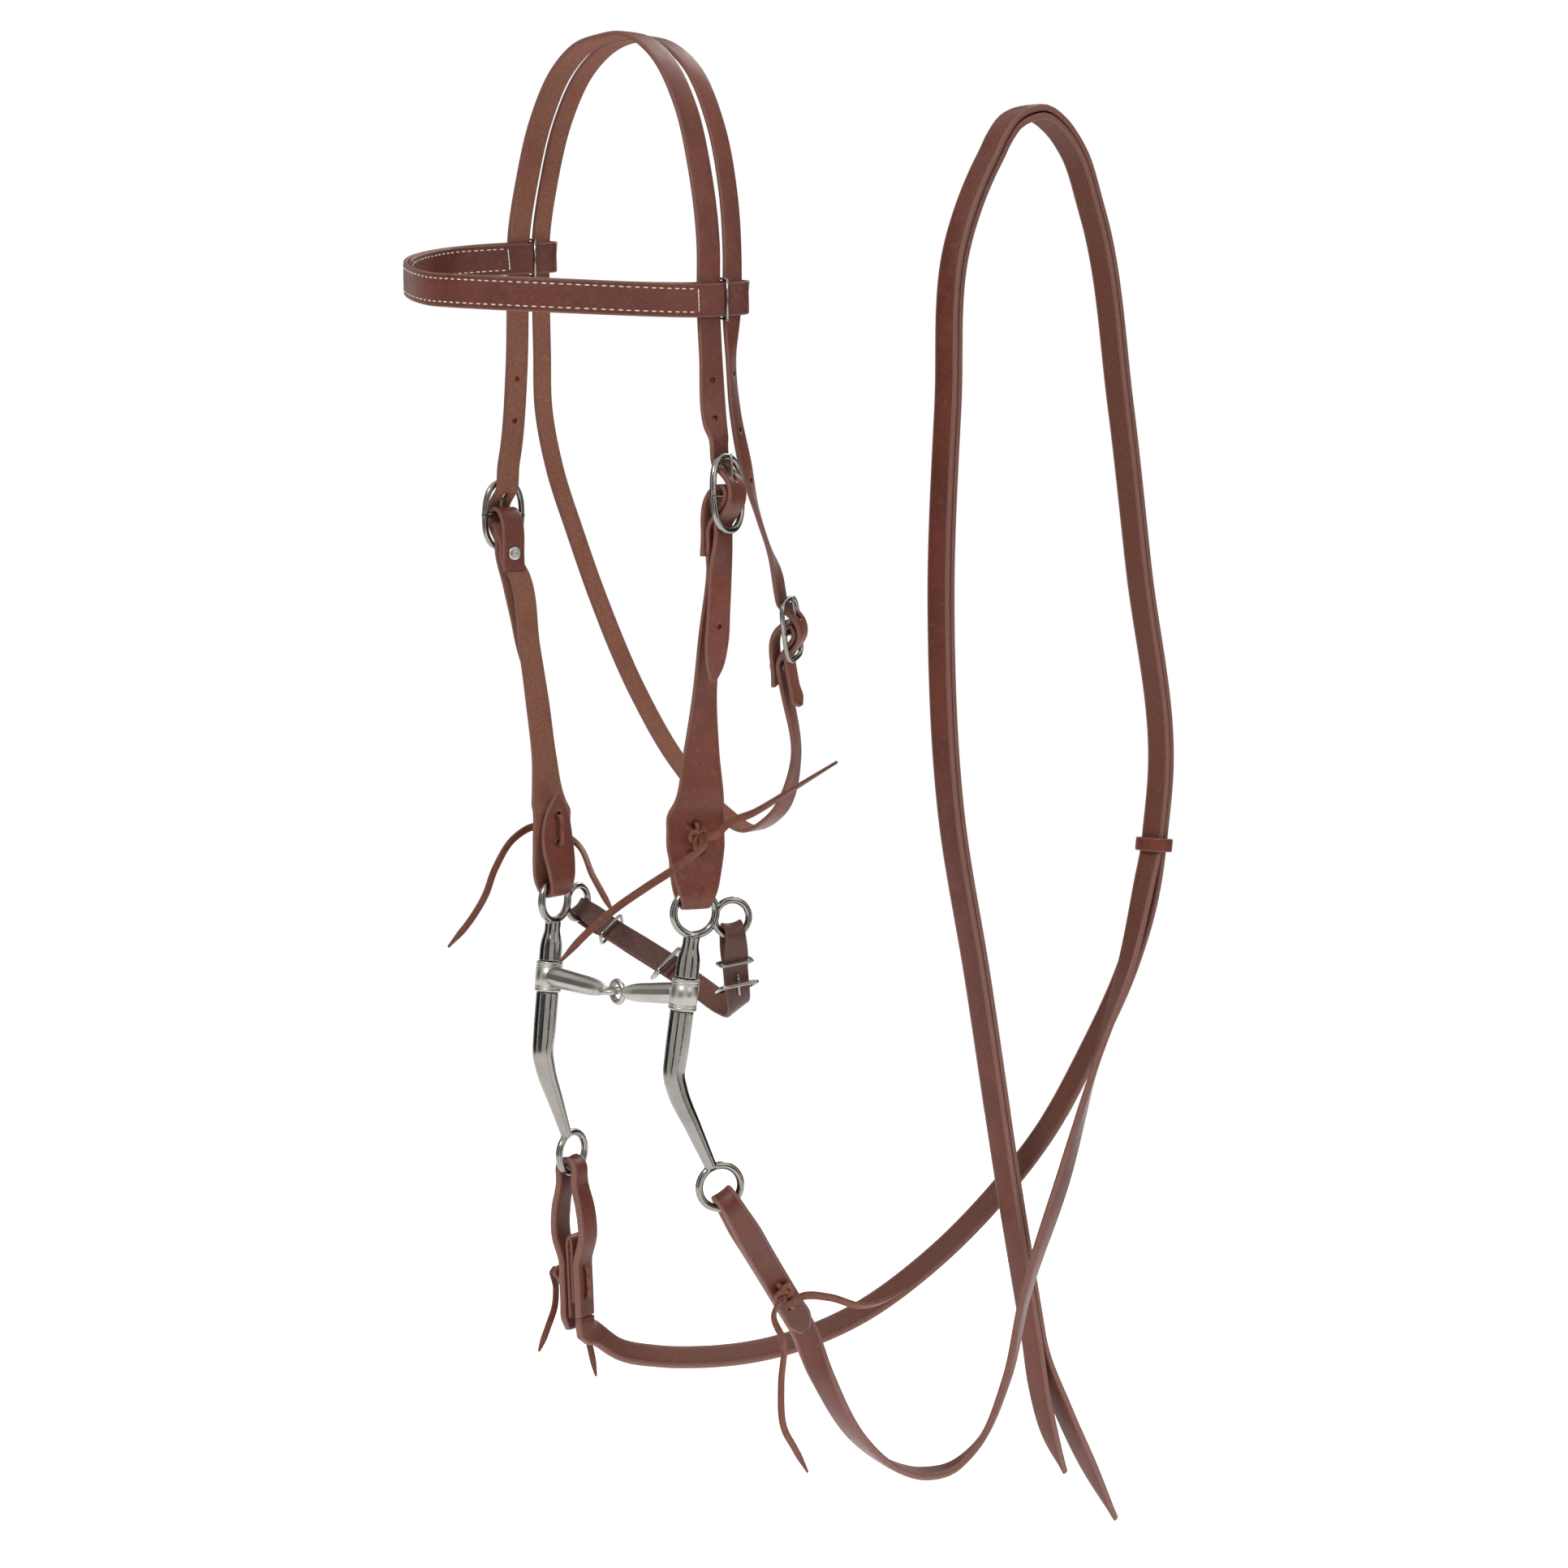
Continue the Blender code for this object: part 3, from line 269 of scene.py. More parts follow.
def leather_material(name, grain, flesh, edge, gloss, wear, nap):
    """Leather read from the strap map: U is the surface (0 grain, 1 edge, 2 flesh) plus the place across
    it, and V the place along it. Pores, mottling, a burnished line along each edge, and a nap on the
    flesh side."""
    made, tree, shader = principled(name)
    place = node(tree, "TexCoord").outputs["Object"]
    parts = node(tree, "SeparateXYZ", {0: node(tree, "UVMap", uv_map="strap").outputs[0]})
    kind = parts.outputs[0]
    on_flesh = calc(tree, "GREATER_THAN", kind, 1.995)
    on_edge = calc(tree, "COMPARE", kind, 1.5, 0.496)
    across = calc(tree, "FRACT", kind)
    off_middle = calc(tree, "ABSOLUTE", calc(tree, "MULTIPLY_ADD", across, 2.0, -1.0))
    cloud = noise(tree, place, 22, 5.0, 0.6)
    fleck = noise(tree, place, 260, 4.0, 0.65)
    fine = noise(tree, place, 1500, 2.0)
    scuff = ramp(tree, noise(tree, place, 70, 6.0, 0.7), 0.56, 0.72)
    deep = shade(grain, 0.62)
    pale = shade(grain, 1.45, 0.012)
    skin = blend_colour(tree, ramp(tree, cloud, 0.3, 0.7), deep, grain)
    skin = blend_colour(tree, times(tree, ramp(tree, fleck, 0.5, 0.75), 0.45), skin, pale)
    skin = blend_colour(tree, times(tree, scuff, 0.35 * wear), skin, pale)
    burnish = ramp(tree, off_middle, 0.78, 0.97, 0.0, 0.55)
    skin = blend_colour(tree, burnish, skin, deep)
    rubbed = times(tree, ramp(tree, off_middle, 0.93, 1.0), ramp(tree, fleck, 0.42, 0.62, 0.0, wear))
    skin = blend_colour(tree, rubbed, skin, pale)
    fuzz = noise(tree, place, 700, 5.0, 0.75)
    under = blend_colour(tree, ramp(tree, fuzz, 0.35, 0.7), shade(flesh, 0.6), flesh)
    under = blend_colour(tree, ramp(tree, cloud, 0.35, 0.75, 0.0, 0.4), under, grain)
    layers = calc(tree, "SINE", times(tree, across, 22.0))
    rim = blend_colour(tree, ramp(tree, layers, 0.55, 0.98, 0.0, 0.8), edge, shade(edge, 0.5))
    rim = blend_colour(tree, ramp(tree, fleck, 0.45, 0.7, 0.0, 0.5), rim, pale)
    colour = blend_colour(tree, on_flesh, skin, under)
    colour = blend_colour(tree, on_edge, colour, rim)
    tree.links.new(colour, shader.inputs["Base Color"])
    rough = calc(tree, "MULTIPLY_ADD", fleck, 0.3, gloss - 0.12)
    rough = plus(tree, rough, times(tree, on_flesh, 0.1 + 0.35 * nap))
    rough = plus(tree, rough, times(tree, on_edge, 0.15))
    tree.links.new(calc(tree, "MINIMUM", rough, 1.0), shader.inputs["Roughness"])
    shader.inputs["Specular IOR Level"].default_value = 0.38
    pores = node(tree, "TexVoronoi", {"Vector": place, "Scale": 950.0}, feature="DISTANCE_TO_EDGE").outputs[0]
    height = times(tree, ramp(tree, pores, 0.0, 0.25), 0.5)
    height = plus(tree, height, times(tree, fine, 0.35))
    height = plus(tree, height, times(tree, fleck, 0.9))
    height = plus(tree, height, times(tree, times(tree, fuzz, on_flesh), 3.0 * nap))
    groove = calc(tree, "COMPARE", off_middle, 0.84, 0.025)
    flat = calc(tree, "SUBTRACT", 1.0, plus(tree, on_flesh, on_edge))
    height = calc(tree, "SUBTRACT", height, times(tree, times(tree, groove, flat), 1.2))
    roughen(tree, shader, height, 0.55, 0.00022)
    return made


def metal_material(name, colour, roughness, streak, dents=0.3):
    """Plated or brushed metal with fine scratches, dull patches and slightly dirty hollows."""
    made, tree, shader = principled(name)
    place = node(tree, "TexCoord").outputs["Object"]
    cloud = noise(tree, place, 60, 4.0, 0.6)
    pits = noise(tree, place, 420, 3.0, 0.6)
    lines = noise(tree, place, 900, 2.0, 0.5, stretch=(1.0, 1.0, 0.06))
    tint = blend_colour(tree, ramp(tree, cloud, 0.4, 0.75, 0.0, 0.6), colour, shade(colour, 0.72))
    tint = blend_colour(tree, ramp(tree, pits, 0.62, 0.78, 0.0, 0.5), tint, shade(colour, 0.5))
    tree.links.new(tint, shader.inputs["Base Color"])
    shader.inputs["Metallic"].default_value = 1.0
    rough = calc(tree, "MULTIPLY_ADD", cloud, 0.16, roughness - 0.07)
    rough = plus(tree, rough, times(tree, lines, streak))
    tree.links.new(rough, shader.inputs["Roughness"])
    height = plus(tree, times(tree, lines, streak * 3), times(tree, cloud, dents))
    height = plus(tree, height, times(tree, pits, 0.25))
    roughen(tree, shader, height, 0.35, 0.0004)
    return made


def thread_material(name, colour):
    """Waxed linen thread: twisted strands, a little dirt."""
    made, tree, shader = principled(name)
    place = node(tree, "TexCoord").outputs["Object"]
    strands = noise(tree, place, 2600, 2.0, 0.6)
    dirt = noise(tree, place, 150, 3.0)
    tint = blend_colour(tree, ramp(tree, dirt, 0.35, 0.75, 0.0, 0.7), colour, shade(colour, 0.55))
    tree.links.new(tint, shader.inputs["Base Color"])
    shader.inputs["Roughness"].default_value = 0.8
    roughen(tree, shader, strands, 0.5, 0.0002)
    return made


# The material's name, its grain, flesh and edge colours, its gloss, its wear and its nap
LEATHERS = {
    "strap": ("chestnut_leather", (118, 60, 45), (152, 101, 80), (122, 80, 68), 0.33, 0.6, 1.0),
    "band": ("browband_leather", (108, 55, 44), (132, 88, 72), (122, 80, 68), 0.36, 0.6, 1.0),
    "rein": ("rein_leather", (104, 46, 30), (106, 58, 42), (128, 88, 78), 0.3, 0.4, 0.2),
    "curb": ("curb_leather", (86, 48, 39), (116, 78, 64), (96, 62, 52), 0.36, 0.5, 1.0),
    "lace": ("lace_leather", (122, 66, 47), (138, 86, 64), (104, 60, 44), 0.42, 0.5, 0.4),
}
FINISH = {
    finish: leather_material(name, srgb(*grain), srgb(*flesh), srgb(*edge), *feel)
    for finish, (name, grain, flesh, edge, *feel) in LEATHERS.items()
}
FINISH |= {
    "nickel": metal_material("nickel_plate", srgb(146, 142, 137), 0.15, 0.05),
    "satin": metal_material("satin_steel", srgb(176, 173, 167), 0.3, 0.14),
    "rivet": metal_material("rivet_metal", srgb(190, 186, 180), 0.28, 0.08, 0.6),
    "thread": thread_material("white_thread", srgb(232, 220, 204)),
}


# ---- adding pieces


def add(name, data, place=None):
    obj = bpy.data.objects.new(name, data)
    bpy.context.scene.collection.objects.link(obj)
    if place is not None:
        obj.matrix_world = place
    return obj


def add_mesh(name, mesh, place=None):
    """An object made from a bmesh, which is freed."""
    data = bpy.data.meshes.new(name)
    mesh.to_mesh(data)
    mesh.free()
    return add(name, data, place)


def helper(obj):
    """A cutter: it isn't rendered, and its shape is only used by another piece."""
    obj.hide_render = True
    obj.hide_set(True)
    return obj


def dress(obj, finish, body=None, stands_for=()):
    """Gives a piece its material, the body it rides on and the CAD nodes that it stands for."""
    obj.data.materials.clear()
    obj.data.materials.append(FINISH[finish])
    if stands_for:
        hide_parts(*stands_for)
    if body:
        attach(obj, body)
    return obj


def shade_smooth(obj):
    for face in obj.data.polygons:
        face.use_smooth = True
    return obj


def finished(obj):
    """The object with its modifiers applied."""
    bpy.context.view_layer.update()
    shape = obj.evaluated_get(bpy.context.evaluated_depsgraph_get())
    data = bpy.data.meshes.new_from_object(shape)
    name, world = obj.name, obj.matrix_world.copy()
    bpy.data.objects.remove(obj)
    return add(name, data, world)


# ---- shape builders


def smooth(controls, spacing):
    """Rows of a smooth curve through the control rows, whose first three numbers are a place."""
    rows = np.array(controls, float)
    step = np.linalg.norm(np.diff(rows[:, :3], axis=0), axis=1)[:, None]
    slope = np.diff(rows, axis=0) / step
    tangent = np.empty_like(rows)
    tangent[0], tangent[-1] = slope[0], slope[-1]
    tangent[1:-1] = (slope[:-1] * step[1:] + slope[1:] * step[:-1]) / (step[:-1] + step[1:])
    out = []
    for i, length in enumerate(step[:, 0]):
        count = max(1, round(length / spacing))
        for t in np.arange(count) / count:
            a = 2 * t**3 - 3 * t**2 + 1
            b = t**3 - 2 * t**2 + t
            c = t**3 - t**2
            out.append(a * rows[i] + (1 - a) * rows[i + 1] + length * (b * tangent[i] + c * tangent[i + 1]))
    out.append(rows[-1])
    return np.array(out)


def row(place, across, width):
    """One control row of a strap: a place and a width in millimetres, and the direction across the strap."""
    return (*(Vector(place) * MM), *Vector(across).normalized(), width * MM)


def directions(rows):
    """For each row: its place, the unit directions across and ahead, the one out of its face, and its
    half width."""
    out = []
    for i, r in enumerate(rows):
        place, across = Vector(r[:3]), Vector(r[3:6])
        ahead = Vector(rows[min(i + 1, len(rows) - 1)][:3]) - Vector(rows[max(i - 1, 0)][:3])
        ahead.normalize()
        across = (across - across.dot(ahead) * ahead).normalized()
        out.append((place, across, ahead, across.cross(ahead), max(r[6] / 2, 0.4 * MM)))
    return out


def section(half, thick, side):
    """The outline of a strap's cross-section: (across, out, U of the strap map), its grain face towards
    side."""
    edge = min(thick * 0.42, half * 0.8)
    flat = half - edge
    crown = 0.06 * thick
    outline = []
    for t in (-1, -0.85, -0.5, 0, 0.5, 0.85, 1):
        outline.append((flat * t, side * (thick / 2 + crown * (1 - t * t)), 0.5 + 0.49 * t))
    for turn, u in ((30, 1.1), (60, 1.3), (90, 1.5), (120, 1.7), (150, 1.9)):
        angle = math.radians(turn)
        outline.append((flat + edge * math.sin(angle), side * thick / 2 * math.cos(angle), u))
    for t in (1, 0.5, 0, -0.5, -1):
        outline.append((flat * t, -side * thick / 2, 2.5 + 0.49 * t))
    for turn, u in ((150, 1.9), (120, 1.7), (90, 1.5), (60, 1.3), (30, 1.1)):
        angle = math.radians(turn)
        outline.append((-flat - edge * math.sin(angle), side * thick / 2 * math.cos(angle), u))
    return outline


def towards(rows, hint):
    """1 or -1: the side of the strap whose face looks towards hint, (share of the length, direction)."""
    share, way = hint
    _, _, _, out, _ = rows[round(share * (len(rows) - 1))]
    return math.copysign(1, out.dot(Vector(way)))


def strap(name, controls, thickness, grain, spacing=3 * MM):
    """A solid leather strap along its control rows with rounded edges. grain is (share of the length,
    direction)."""
    rows = directions(smooth(controls, spacing))
    side = towards(rows, grain)
    mesh = bmesh.new()
    uv = mesh.loops.layers.uv.new("strap")
    rings, along = [], [0.0]
    for i, (place, across, ahead, out, half) in enumerate(rows):
        if i:
            along.append(along[-1] + (place - rows[i - 1][0]).length)
        outline = section(half, thickness, side)
        rings.append([(mesh.verts.new(place + across * a + out * b), u) for a, b, u in outline])
    for a, b, v, w in zip(rings, rings[1:], along, along[1:]):
        for k in range(len(a)):
            n = (k + 1) % len(a)
            face = mesh.faces.new((a[k][0], a[n][0], b[n][0], b[k][0]))
            kind = int((a[k][1] + a[n][1]) / 2) if abs(a[k][1] - a[n][1]) < 0.6 else 1
            corners = (a[k][1], a[n][1], b[n][1], b[k][1])
            for loop, u, height in zip(face.loops, corners, (v, v, w, w)):
                loop[uv].uv = (min(max(u, kind + 0.005), kind + 0.99), height)
            face.smooth = True
    for ring in (rings[0], rings[-1]):
        cap = mesh.faces.new([vert for vert, _ in ring])
        for loop in cap.loops:
            loop[uv].uv = (1.5, 0)
    bmesh.ops.recalc_face_normals(mesh, faces=mesh.faces)
    return add_mesh(name, mesh)


def wire(name, points, radius, closed=False, radii=None, place=None):
    """A round wire, cord or bar through points in metres, as a mesh."""
    curve = bpy.data.curves.new(name, "CURVE")
    curve.dimensions = "3D"
    curve.bevel_depth = radius
    curve.bevel_resolution = 4
    curve.use_fill_caps = not closed
    spline = curve.splines.new("POLY")
    spline.points.add(len(points) - 1)
    for i, (point, place_of) in enumerate(zip(spline.points, points)):
        point.co = (*place_of, 1)
        point.radius = radii[i] / radius if radii else 1
    spline.use_cyclic_u = closed
    made = finished(add(name, curve, place))
    mesh = bmesh.new()
    mesh.from_mesh(made.data)
    bmesh.ops.remove_doubles(mesh, verts=mesh.verts, dist=1e-6)
    bmesh.ops.recalc_face_normals(mesh, faces=mesh.faces)
    mesh.to_mesh(made.data)
    mesh.free()
    return shade_smooth(made)


def joined(name, pieces):
    """Several meshes as one object, in world space."""
    mesh = bmesh.new()
    for piece in pieces:
        before = set(mesh.verts)
        mesh.from_mesh(piece.data)
        fresh = [vert for vert in mesh.verts if vert not in before]
        bmesh.ops.transform(mesh, matrix=piece.matrix_world, verts=fresh)
        bpy.data.objects.remove(piece)
    return add_mesh(name, mesh)


def cast(obj, voxel, rounds=6):
    """Melts overlapping pieces into one casting with small fillets where they meet."""
    melt = obj.modifiers.new("melt", "REMESH")
    melt.mode = "VOXEL"
    melt.voxel_size = voxel
    soften = obj.modifiers.new("soften", "SMOOTH")
    soften.factor = 0.5
    soften.iterations = rounds
    return shade_smooth(finished(obj))


def lathe(name, profile, place, steps=48):
    """A turned solid: profile is (radius, height) from the axis out and back to it."""
    mesh = bmesh.new()
    rings = []
    for i in range(steps):
        angle = math.tau * i / steps
        rings.append([mesh.verts.new((r * math.cos(angle), r * math.sin(angle), z)) for r, z in profile])
    for a, b in zip(rings, rings[1:] + rings[:1]):
        for k in range(len(profile) - 1):
            mesh.faces.new((a[k], b[k], b[k + 1], a[k + 1]))
    bmesh.ops.remove_doubles(mesh, verts=mesh.verts, dist=1e-6)
    bmesh.ops.dissolve_degenerate(mesh, edges=mesh.edges, dist=1e-6)
    bmesh.ops.recalc_face_normals(mesh, faces=mesh.faces)
    return shade_smooth(add_mesh(name, mesh, place))


def torus(name, centre, radius, minor, axis, place):
    """A ring of round wire. axis is the direction it is threaded along."""
    quarter = math.pi / 2
    turn = {"X": Matrix.Rotation(quarter, 4, "Y"), "Y": Matrix.Rotation(quarter, 4, "X"), "Z": Matrix()}
    points = []
    for i in range(64):
        angle = math.tau * i / 64
        spot = Vector((radius * math.cos(angle), radius * math.sin(angle), 0))
        points.append(Vector(centre) + turn[axis] @ spot)
    return wire(name, points, minor, closed=True, place=place)


def cup(obj, frame, radius, start=4, end=15):
    """Curves a fold over a ring's wire, so that its edges follow the ring: full within start millimetres
    of the wire along the pull, and none beyond end."""
    inverse = (frame.inverted() @ obj.matrix_world).to_4x4()
    back = inverse.inverted()
    for vert in obj.data.vertices:
        place = inverse @ vert.co
        down = -place.z / MM
        near = abs(place.x) < radius * 0.95 and place.length < (end + 6) * MM
        share = min(max((end - down) / (end - start), 0), 1) if near else 0
        place.z += share * (radius - math.sqrt(max(radius**2 - place.x**2, 0)))
        vert.co = back @ place
    return obj


def take_away(obj, name, cutter):
    """Cuts a hidden helper's shape out of a piece."""
    cut = obj.modifiers.new(name, "BOOLEAN")
    cut.operation = "DIFFERENCE"
    cut.object = helper(cutter)


def punch(obj, thickness, cuts):
    """Cuts holes through a strap. Each cut is (place, across, ahead, out, half length, half width)."""
    mesh = bmesh.new()
    reach = thickness / 2 + CUT_MARGIN
    for place, across, ahead, out, half_length, half_width in cuts:
        rim = []
        for i in range(16):
            angle = math.tau * i / 16
            stretch = math.copysign(max(half_length - half_width, 0), math.sin(angle))
            forward = half_width * math.sin(angle) + stretch
            rim.append(across * half_width * math.cos(angle) + ahead * forward)
        low = [mesh.verts.new(place + point - out * reach) for point in rim]
        high = [mesh.verts.new(place + point + out * reach) for point in rim]
        mesh.faces.new(low)
        mesh.faces.new(high)
        for k in range(16):
            n = (k + 1) % 16
            mesh.faces.new((low[k], low[n], high[n], high[k]))
    bmesh.ops.recalc_face_normals(mesh, faces=mesh.faces)
    take_away(obj, "holes", add_mesh(f"{obj.name}_holes", mesh))


def cuts_at(controls, slots, half_width=2.2 * MM):
    """Cuts for slots given as (place, half length along the strap)."""
    rows = directions(smooth(controls, 2 * MM))
    cuts = []
    for place, half_length in slots:
        spot = Vector(place)
        nearest = min(rows, key=lambda r: (r[0] - spot).length)
        _, across, ahead, out, _ = nearest
        cuts.append((nearest[0], across, ahead, out, half_length, min(half_width, half_length)))
    return cuts


def holes_along(controls, spots, radius, thickness=LEATHER):
    """Adjusting holes in the middle of the strap nearest to each of the places, in millimetres. Each is
    sunk from both faces and leaves a thin skin between them, so that it looks dark and not lit from
    behind."""
    shift = thickness / 2 + 0.5 * MM
    cuts = cuts_at(controls, [(Vector(spot) * MM, radius) for spot in spots], radius)
    return [
        (place + out * shift * face, across, ahead, out, *size)
        for place, across, ahead, out, *size in cuts
        for face in (-1, 1)
    ]


STITCH_SHARE = 0.64  # of the pitch of a seam is thread, and the rest is leather


def stitch_rows(name, controls, inset, pitch, side, thickness, keep):
    """Stitches near both edges of a strap, on the face towards side, where keep(place) is true, with a
    column of them across the strap at each end of every run."""
    rows = directions(smooth(controls, 0.5 * MM))
    mesh = bmesh.new()
    travelled, sewn = pitch, False
    for previous, current in zip(rows, rows[1:]):
        place, across, ahead, out, half = current
        face = out * math.copysign(1, out.dot(Vector(side(place))))
        lift = face * (thickness / 2 + 0.08 * MM)
        inside = keep(place)
        if inside != sewn:
            reach = half - inset
            for step in range(-2, 3):
                stitch(mesh, place + lift + across * reach * step / 2.6, across, ahead, face, reach * 0.48)
            sewn, travelled = inside, 0.0
        travelled += (place - previous[0]).length
        if inside and travelled >= pitch:
            travelled -= pitch
            for edge in (-1, 1):
                middle = place + lift + across * edge * (half - inset)
                stitch(mesh, middle, ahead, across, face, pitch * STITCH_SHARE)
    return shade_smooth(add_mesh(name, mesh))


def stitch(mesh, middle, along, across, out, length):
    """One stitch: a plump thread that dives at both ends."""
    made = bmesh.ops.create_uvsphere(mesh, u_segments=8, v_segments=6, radius=1)
    turn = Matrix((across * 0.4 * MM, out * 0.38 * MM, along * length / 2)).transposed().to_4x4()
    bmesh.ops.transform(mesh, matrix=Matrix.Translation(middle) @ turn, verts=made["verts"])


# ---- frames that the pieces are built in


def frame_at(place, out, up):
    """A frame with Y outward and Z up, its origin at a place in millimetres."""
    z = Vector(up).normalized()
    y = Vector(out)
    y = (y - y.dot(z) * z).normalized()
    x = y.cross(z)
    turn = Matrix((x, y, z)).transposed().to_4x4()
    return Matrix.Translation(Vector(place) * MM) @ turn


def at(frame, out, up):
    """A place in metres, out and up in a frame by so many millimetres."""
    return frame @ Vector((0, out * MM, up * MM))


def shank_frame(side):
    """The frame of one shank: origin at its top ring, X out of the ring's plane, Y rearward, Z up the
    shank."""
    toe = Matrix.Rotation(-SHANK_TOE * side, 4, "Z")
    pitch = Matrix.Rotation(-SHANK_PITCH, 4, "X")
    drop = RING_X * math.sin(BIT_ROLL) * side
    place = Vector((RING_X * side, 0, drop)) + Vector(BIT_CENTRE)
    return Matrix.Translation(place * MM) @ toe @ pitch


def ring_frame(side):
    """The upright frame of a top ring, which the leather loop hangs in: X rearward, Y outward."""
    centre = shank_frame(side).to_translation() / MM
    out = (math.cos(SHANK_TOE) * side, -math.sin(SHANK_TOE), 0)
    return frame_at(centre, out, (0, 0, 1))


def wire_frame(side, back, drop, radius, swing, pull):
    """A frame on the wire of a ring in the shank's plane, where a strap folded round the wire pulls away
    from it.

    back and drop place the ring's centre, swing is the angle of the place on the wire from straight down
    towards the rear. X lies along the wire, Y is outward and Z is against the pull.
    """
    shank = shank_frame(side)
    spot = Vector((0, back + radius * math.sin(swing), -drop - radius * math.cos(swing)))
    along = shank.to_3x3() @ Vector((0, math.cos(swing), math.sin(swing)))
    return frame_at((shank @ spot) / MM, Vector(pull).cross(along) * side, -Vector(pull))


CHEEK_BUCKLE = {
    "left": frame_at((120, -8, -269), (0.956, 0.29, 0), (-0.06, 0, 1)),
    "right": frame_at((-120, -8, -282), (-1, 0.02, 0), (0.06, 0, 1)),
}
THROAT_BUCKLE = frame_at((84, 67, -350), (0.88, 0.46, 0), (0.12, -0.25, 0.96))


# ---- leather at a centre-bar buckle: (outward, along the strap downward) in millimetres from the bar

BILLET_OVER_BAR = [
    (-4.8, -30), (-4.5, -22), (-3.9, -17), (-0.6, -13), (3.0, -9.5), (6.0, -5), (6.9, 0),
    (6.0, 5), (3.0, 9.5), (-0.4, 13), (-3.7, 17), (-4.0, 22),
]  # fmt: skip
CHAPE_ROUND_BAR = [
    (-14.6, 35), (-13.6, 26.4), (-13.2, 20.6), (-13.2, 16), (-12.8, 11), (-11.4, 5), (-8.8, 0.5),
    (-5.4, -2.8), (-1.9, -3.9), (2.2, -3.1), (3.6, 0.2), (2.2, 5), (-1.4, 8.8), (-4.2, 12.5), (-8.0, 16.5),
    (-9.7, 20.6), (-9.9, 26.4),
]  # fmt: skip
RIVET_DOWN, RIVET_OUT, RIVET_LENGTH = 23.5, -15.2, 7.9 * MM
CHAPE_LAYERS = (-9.8, -13.4)  # outward places of the two layers that the rivet holds
LACE_HOLES = (36, 54)  # above the centre of the bit's ring


def in_buckle(frame, profile, width, side):
    """Strap rows at a buckle. side turns the across direction rearward on both sides of the head."""
    across = frame.to_3x3() @ Vector((-side, 0, 0))
    return [row(at(frame, out, -down) / MM, across, width) for out, down in profile]


def slot_at(frame, out, down, half_length):
    return (at(frame, out, -down), half_length * MM)


# ---- crown, throatlatch and cheekpieces


def crown_strap():
    """One strap over the poll, buckled at both cheeks, each end a loose pointed tail outside the
    cheekpiece."""
    ahead = (0, 1, 0)
    left_tail = [
        ((104, -7, -378), 3), ((106, -7, -370), 11), ((108.5, -7.5, -357), 16),
        ((111.5, -8, -335), 16), ((113, -8, -314), 16),
    ]  # fmt: skip
    right_tail = [
        ((-113.5, -5, -326), 16), ((-111, -1, -348), 16), ((-107.5, 1, -366), 16),
        ((-105.5, 2, -378), 12), ((-104, 2, -387), 3),
    ]  # fmt: skip
    arch = [
        (109, CROWN_Y - 1, -232), (103, CROWN_Y, -190), (101, CROWN_Y, -163), (100.7, CROWN_Y, -125),
        (93, CROWN_Y, -85), (79, CROWN_Y, -47), (55, CROWN_Y, -16), (28, CROWN_Y, -1), (0, CROWN_Y, 1.4),
        (-26, CROWN_Y, -1), (-50, CROWN_Y, -13), (-73, CROWN_Y, -39), (-90, CROWN_Y, -75),
        (-100, CROWN_Y, -108), (-101.5, CROWN_Y, -140), (-104, CROWN_Y, -190), (-110, CROWN_Y - 1, -240),
    ]  # fmt: skip
    left, right = CHEEK_BUCKLE["left"], CHEEK_BUCKLE["right"]
    width = CROWN_WIDTH / MM
    rows = [row(place, ahead, w) for place, w in left_tail]
    rows += in_buckle(left, BILLET_OVER_BAR, 16, 1)[::-1]
    rows += [row(place, ahead, width) for place in arch]
    rows += in_buckle(right, BILLET_OVER_BAR, 16, -1)
    rows += [row(place, ahead, w) for place, w in right_tail]
    slots = [slot_at(frame, 1.5, -10.5, 6.5) for frame in (left, right)]
    obj = strap("crown_piece", rows, LEATHER, (0.5, (0, 0, 1)))
    holes = [(105, -7, -205), (108, -7, -227), (-104.5, -7, -196), (-108, -8, -222), (110, -8, -345)]
    punch(obj, LEATHER, cuts_at(rows, slots, 1.6 * MM) + holes_along(rows, holes, 1.7 * MM))
    return dress(obj, "strap", "headstall", ["crown_strap"])


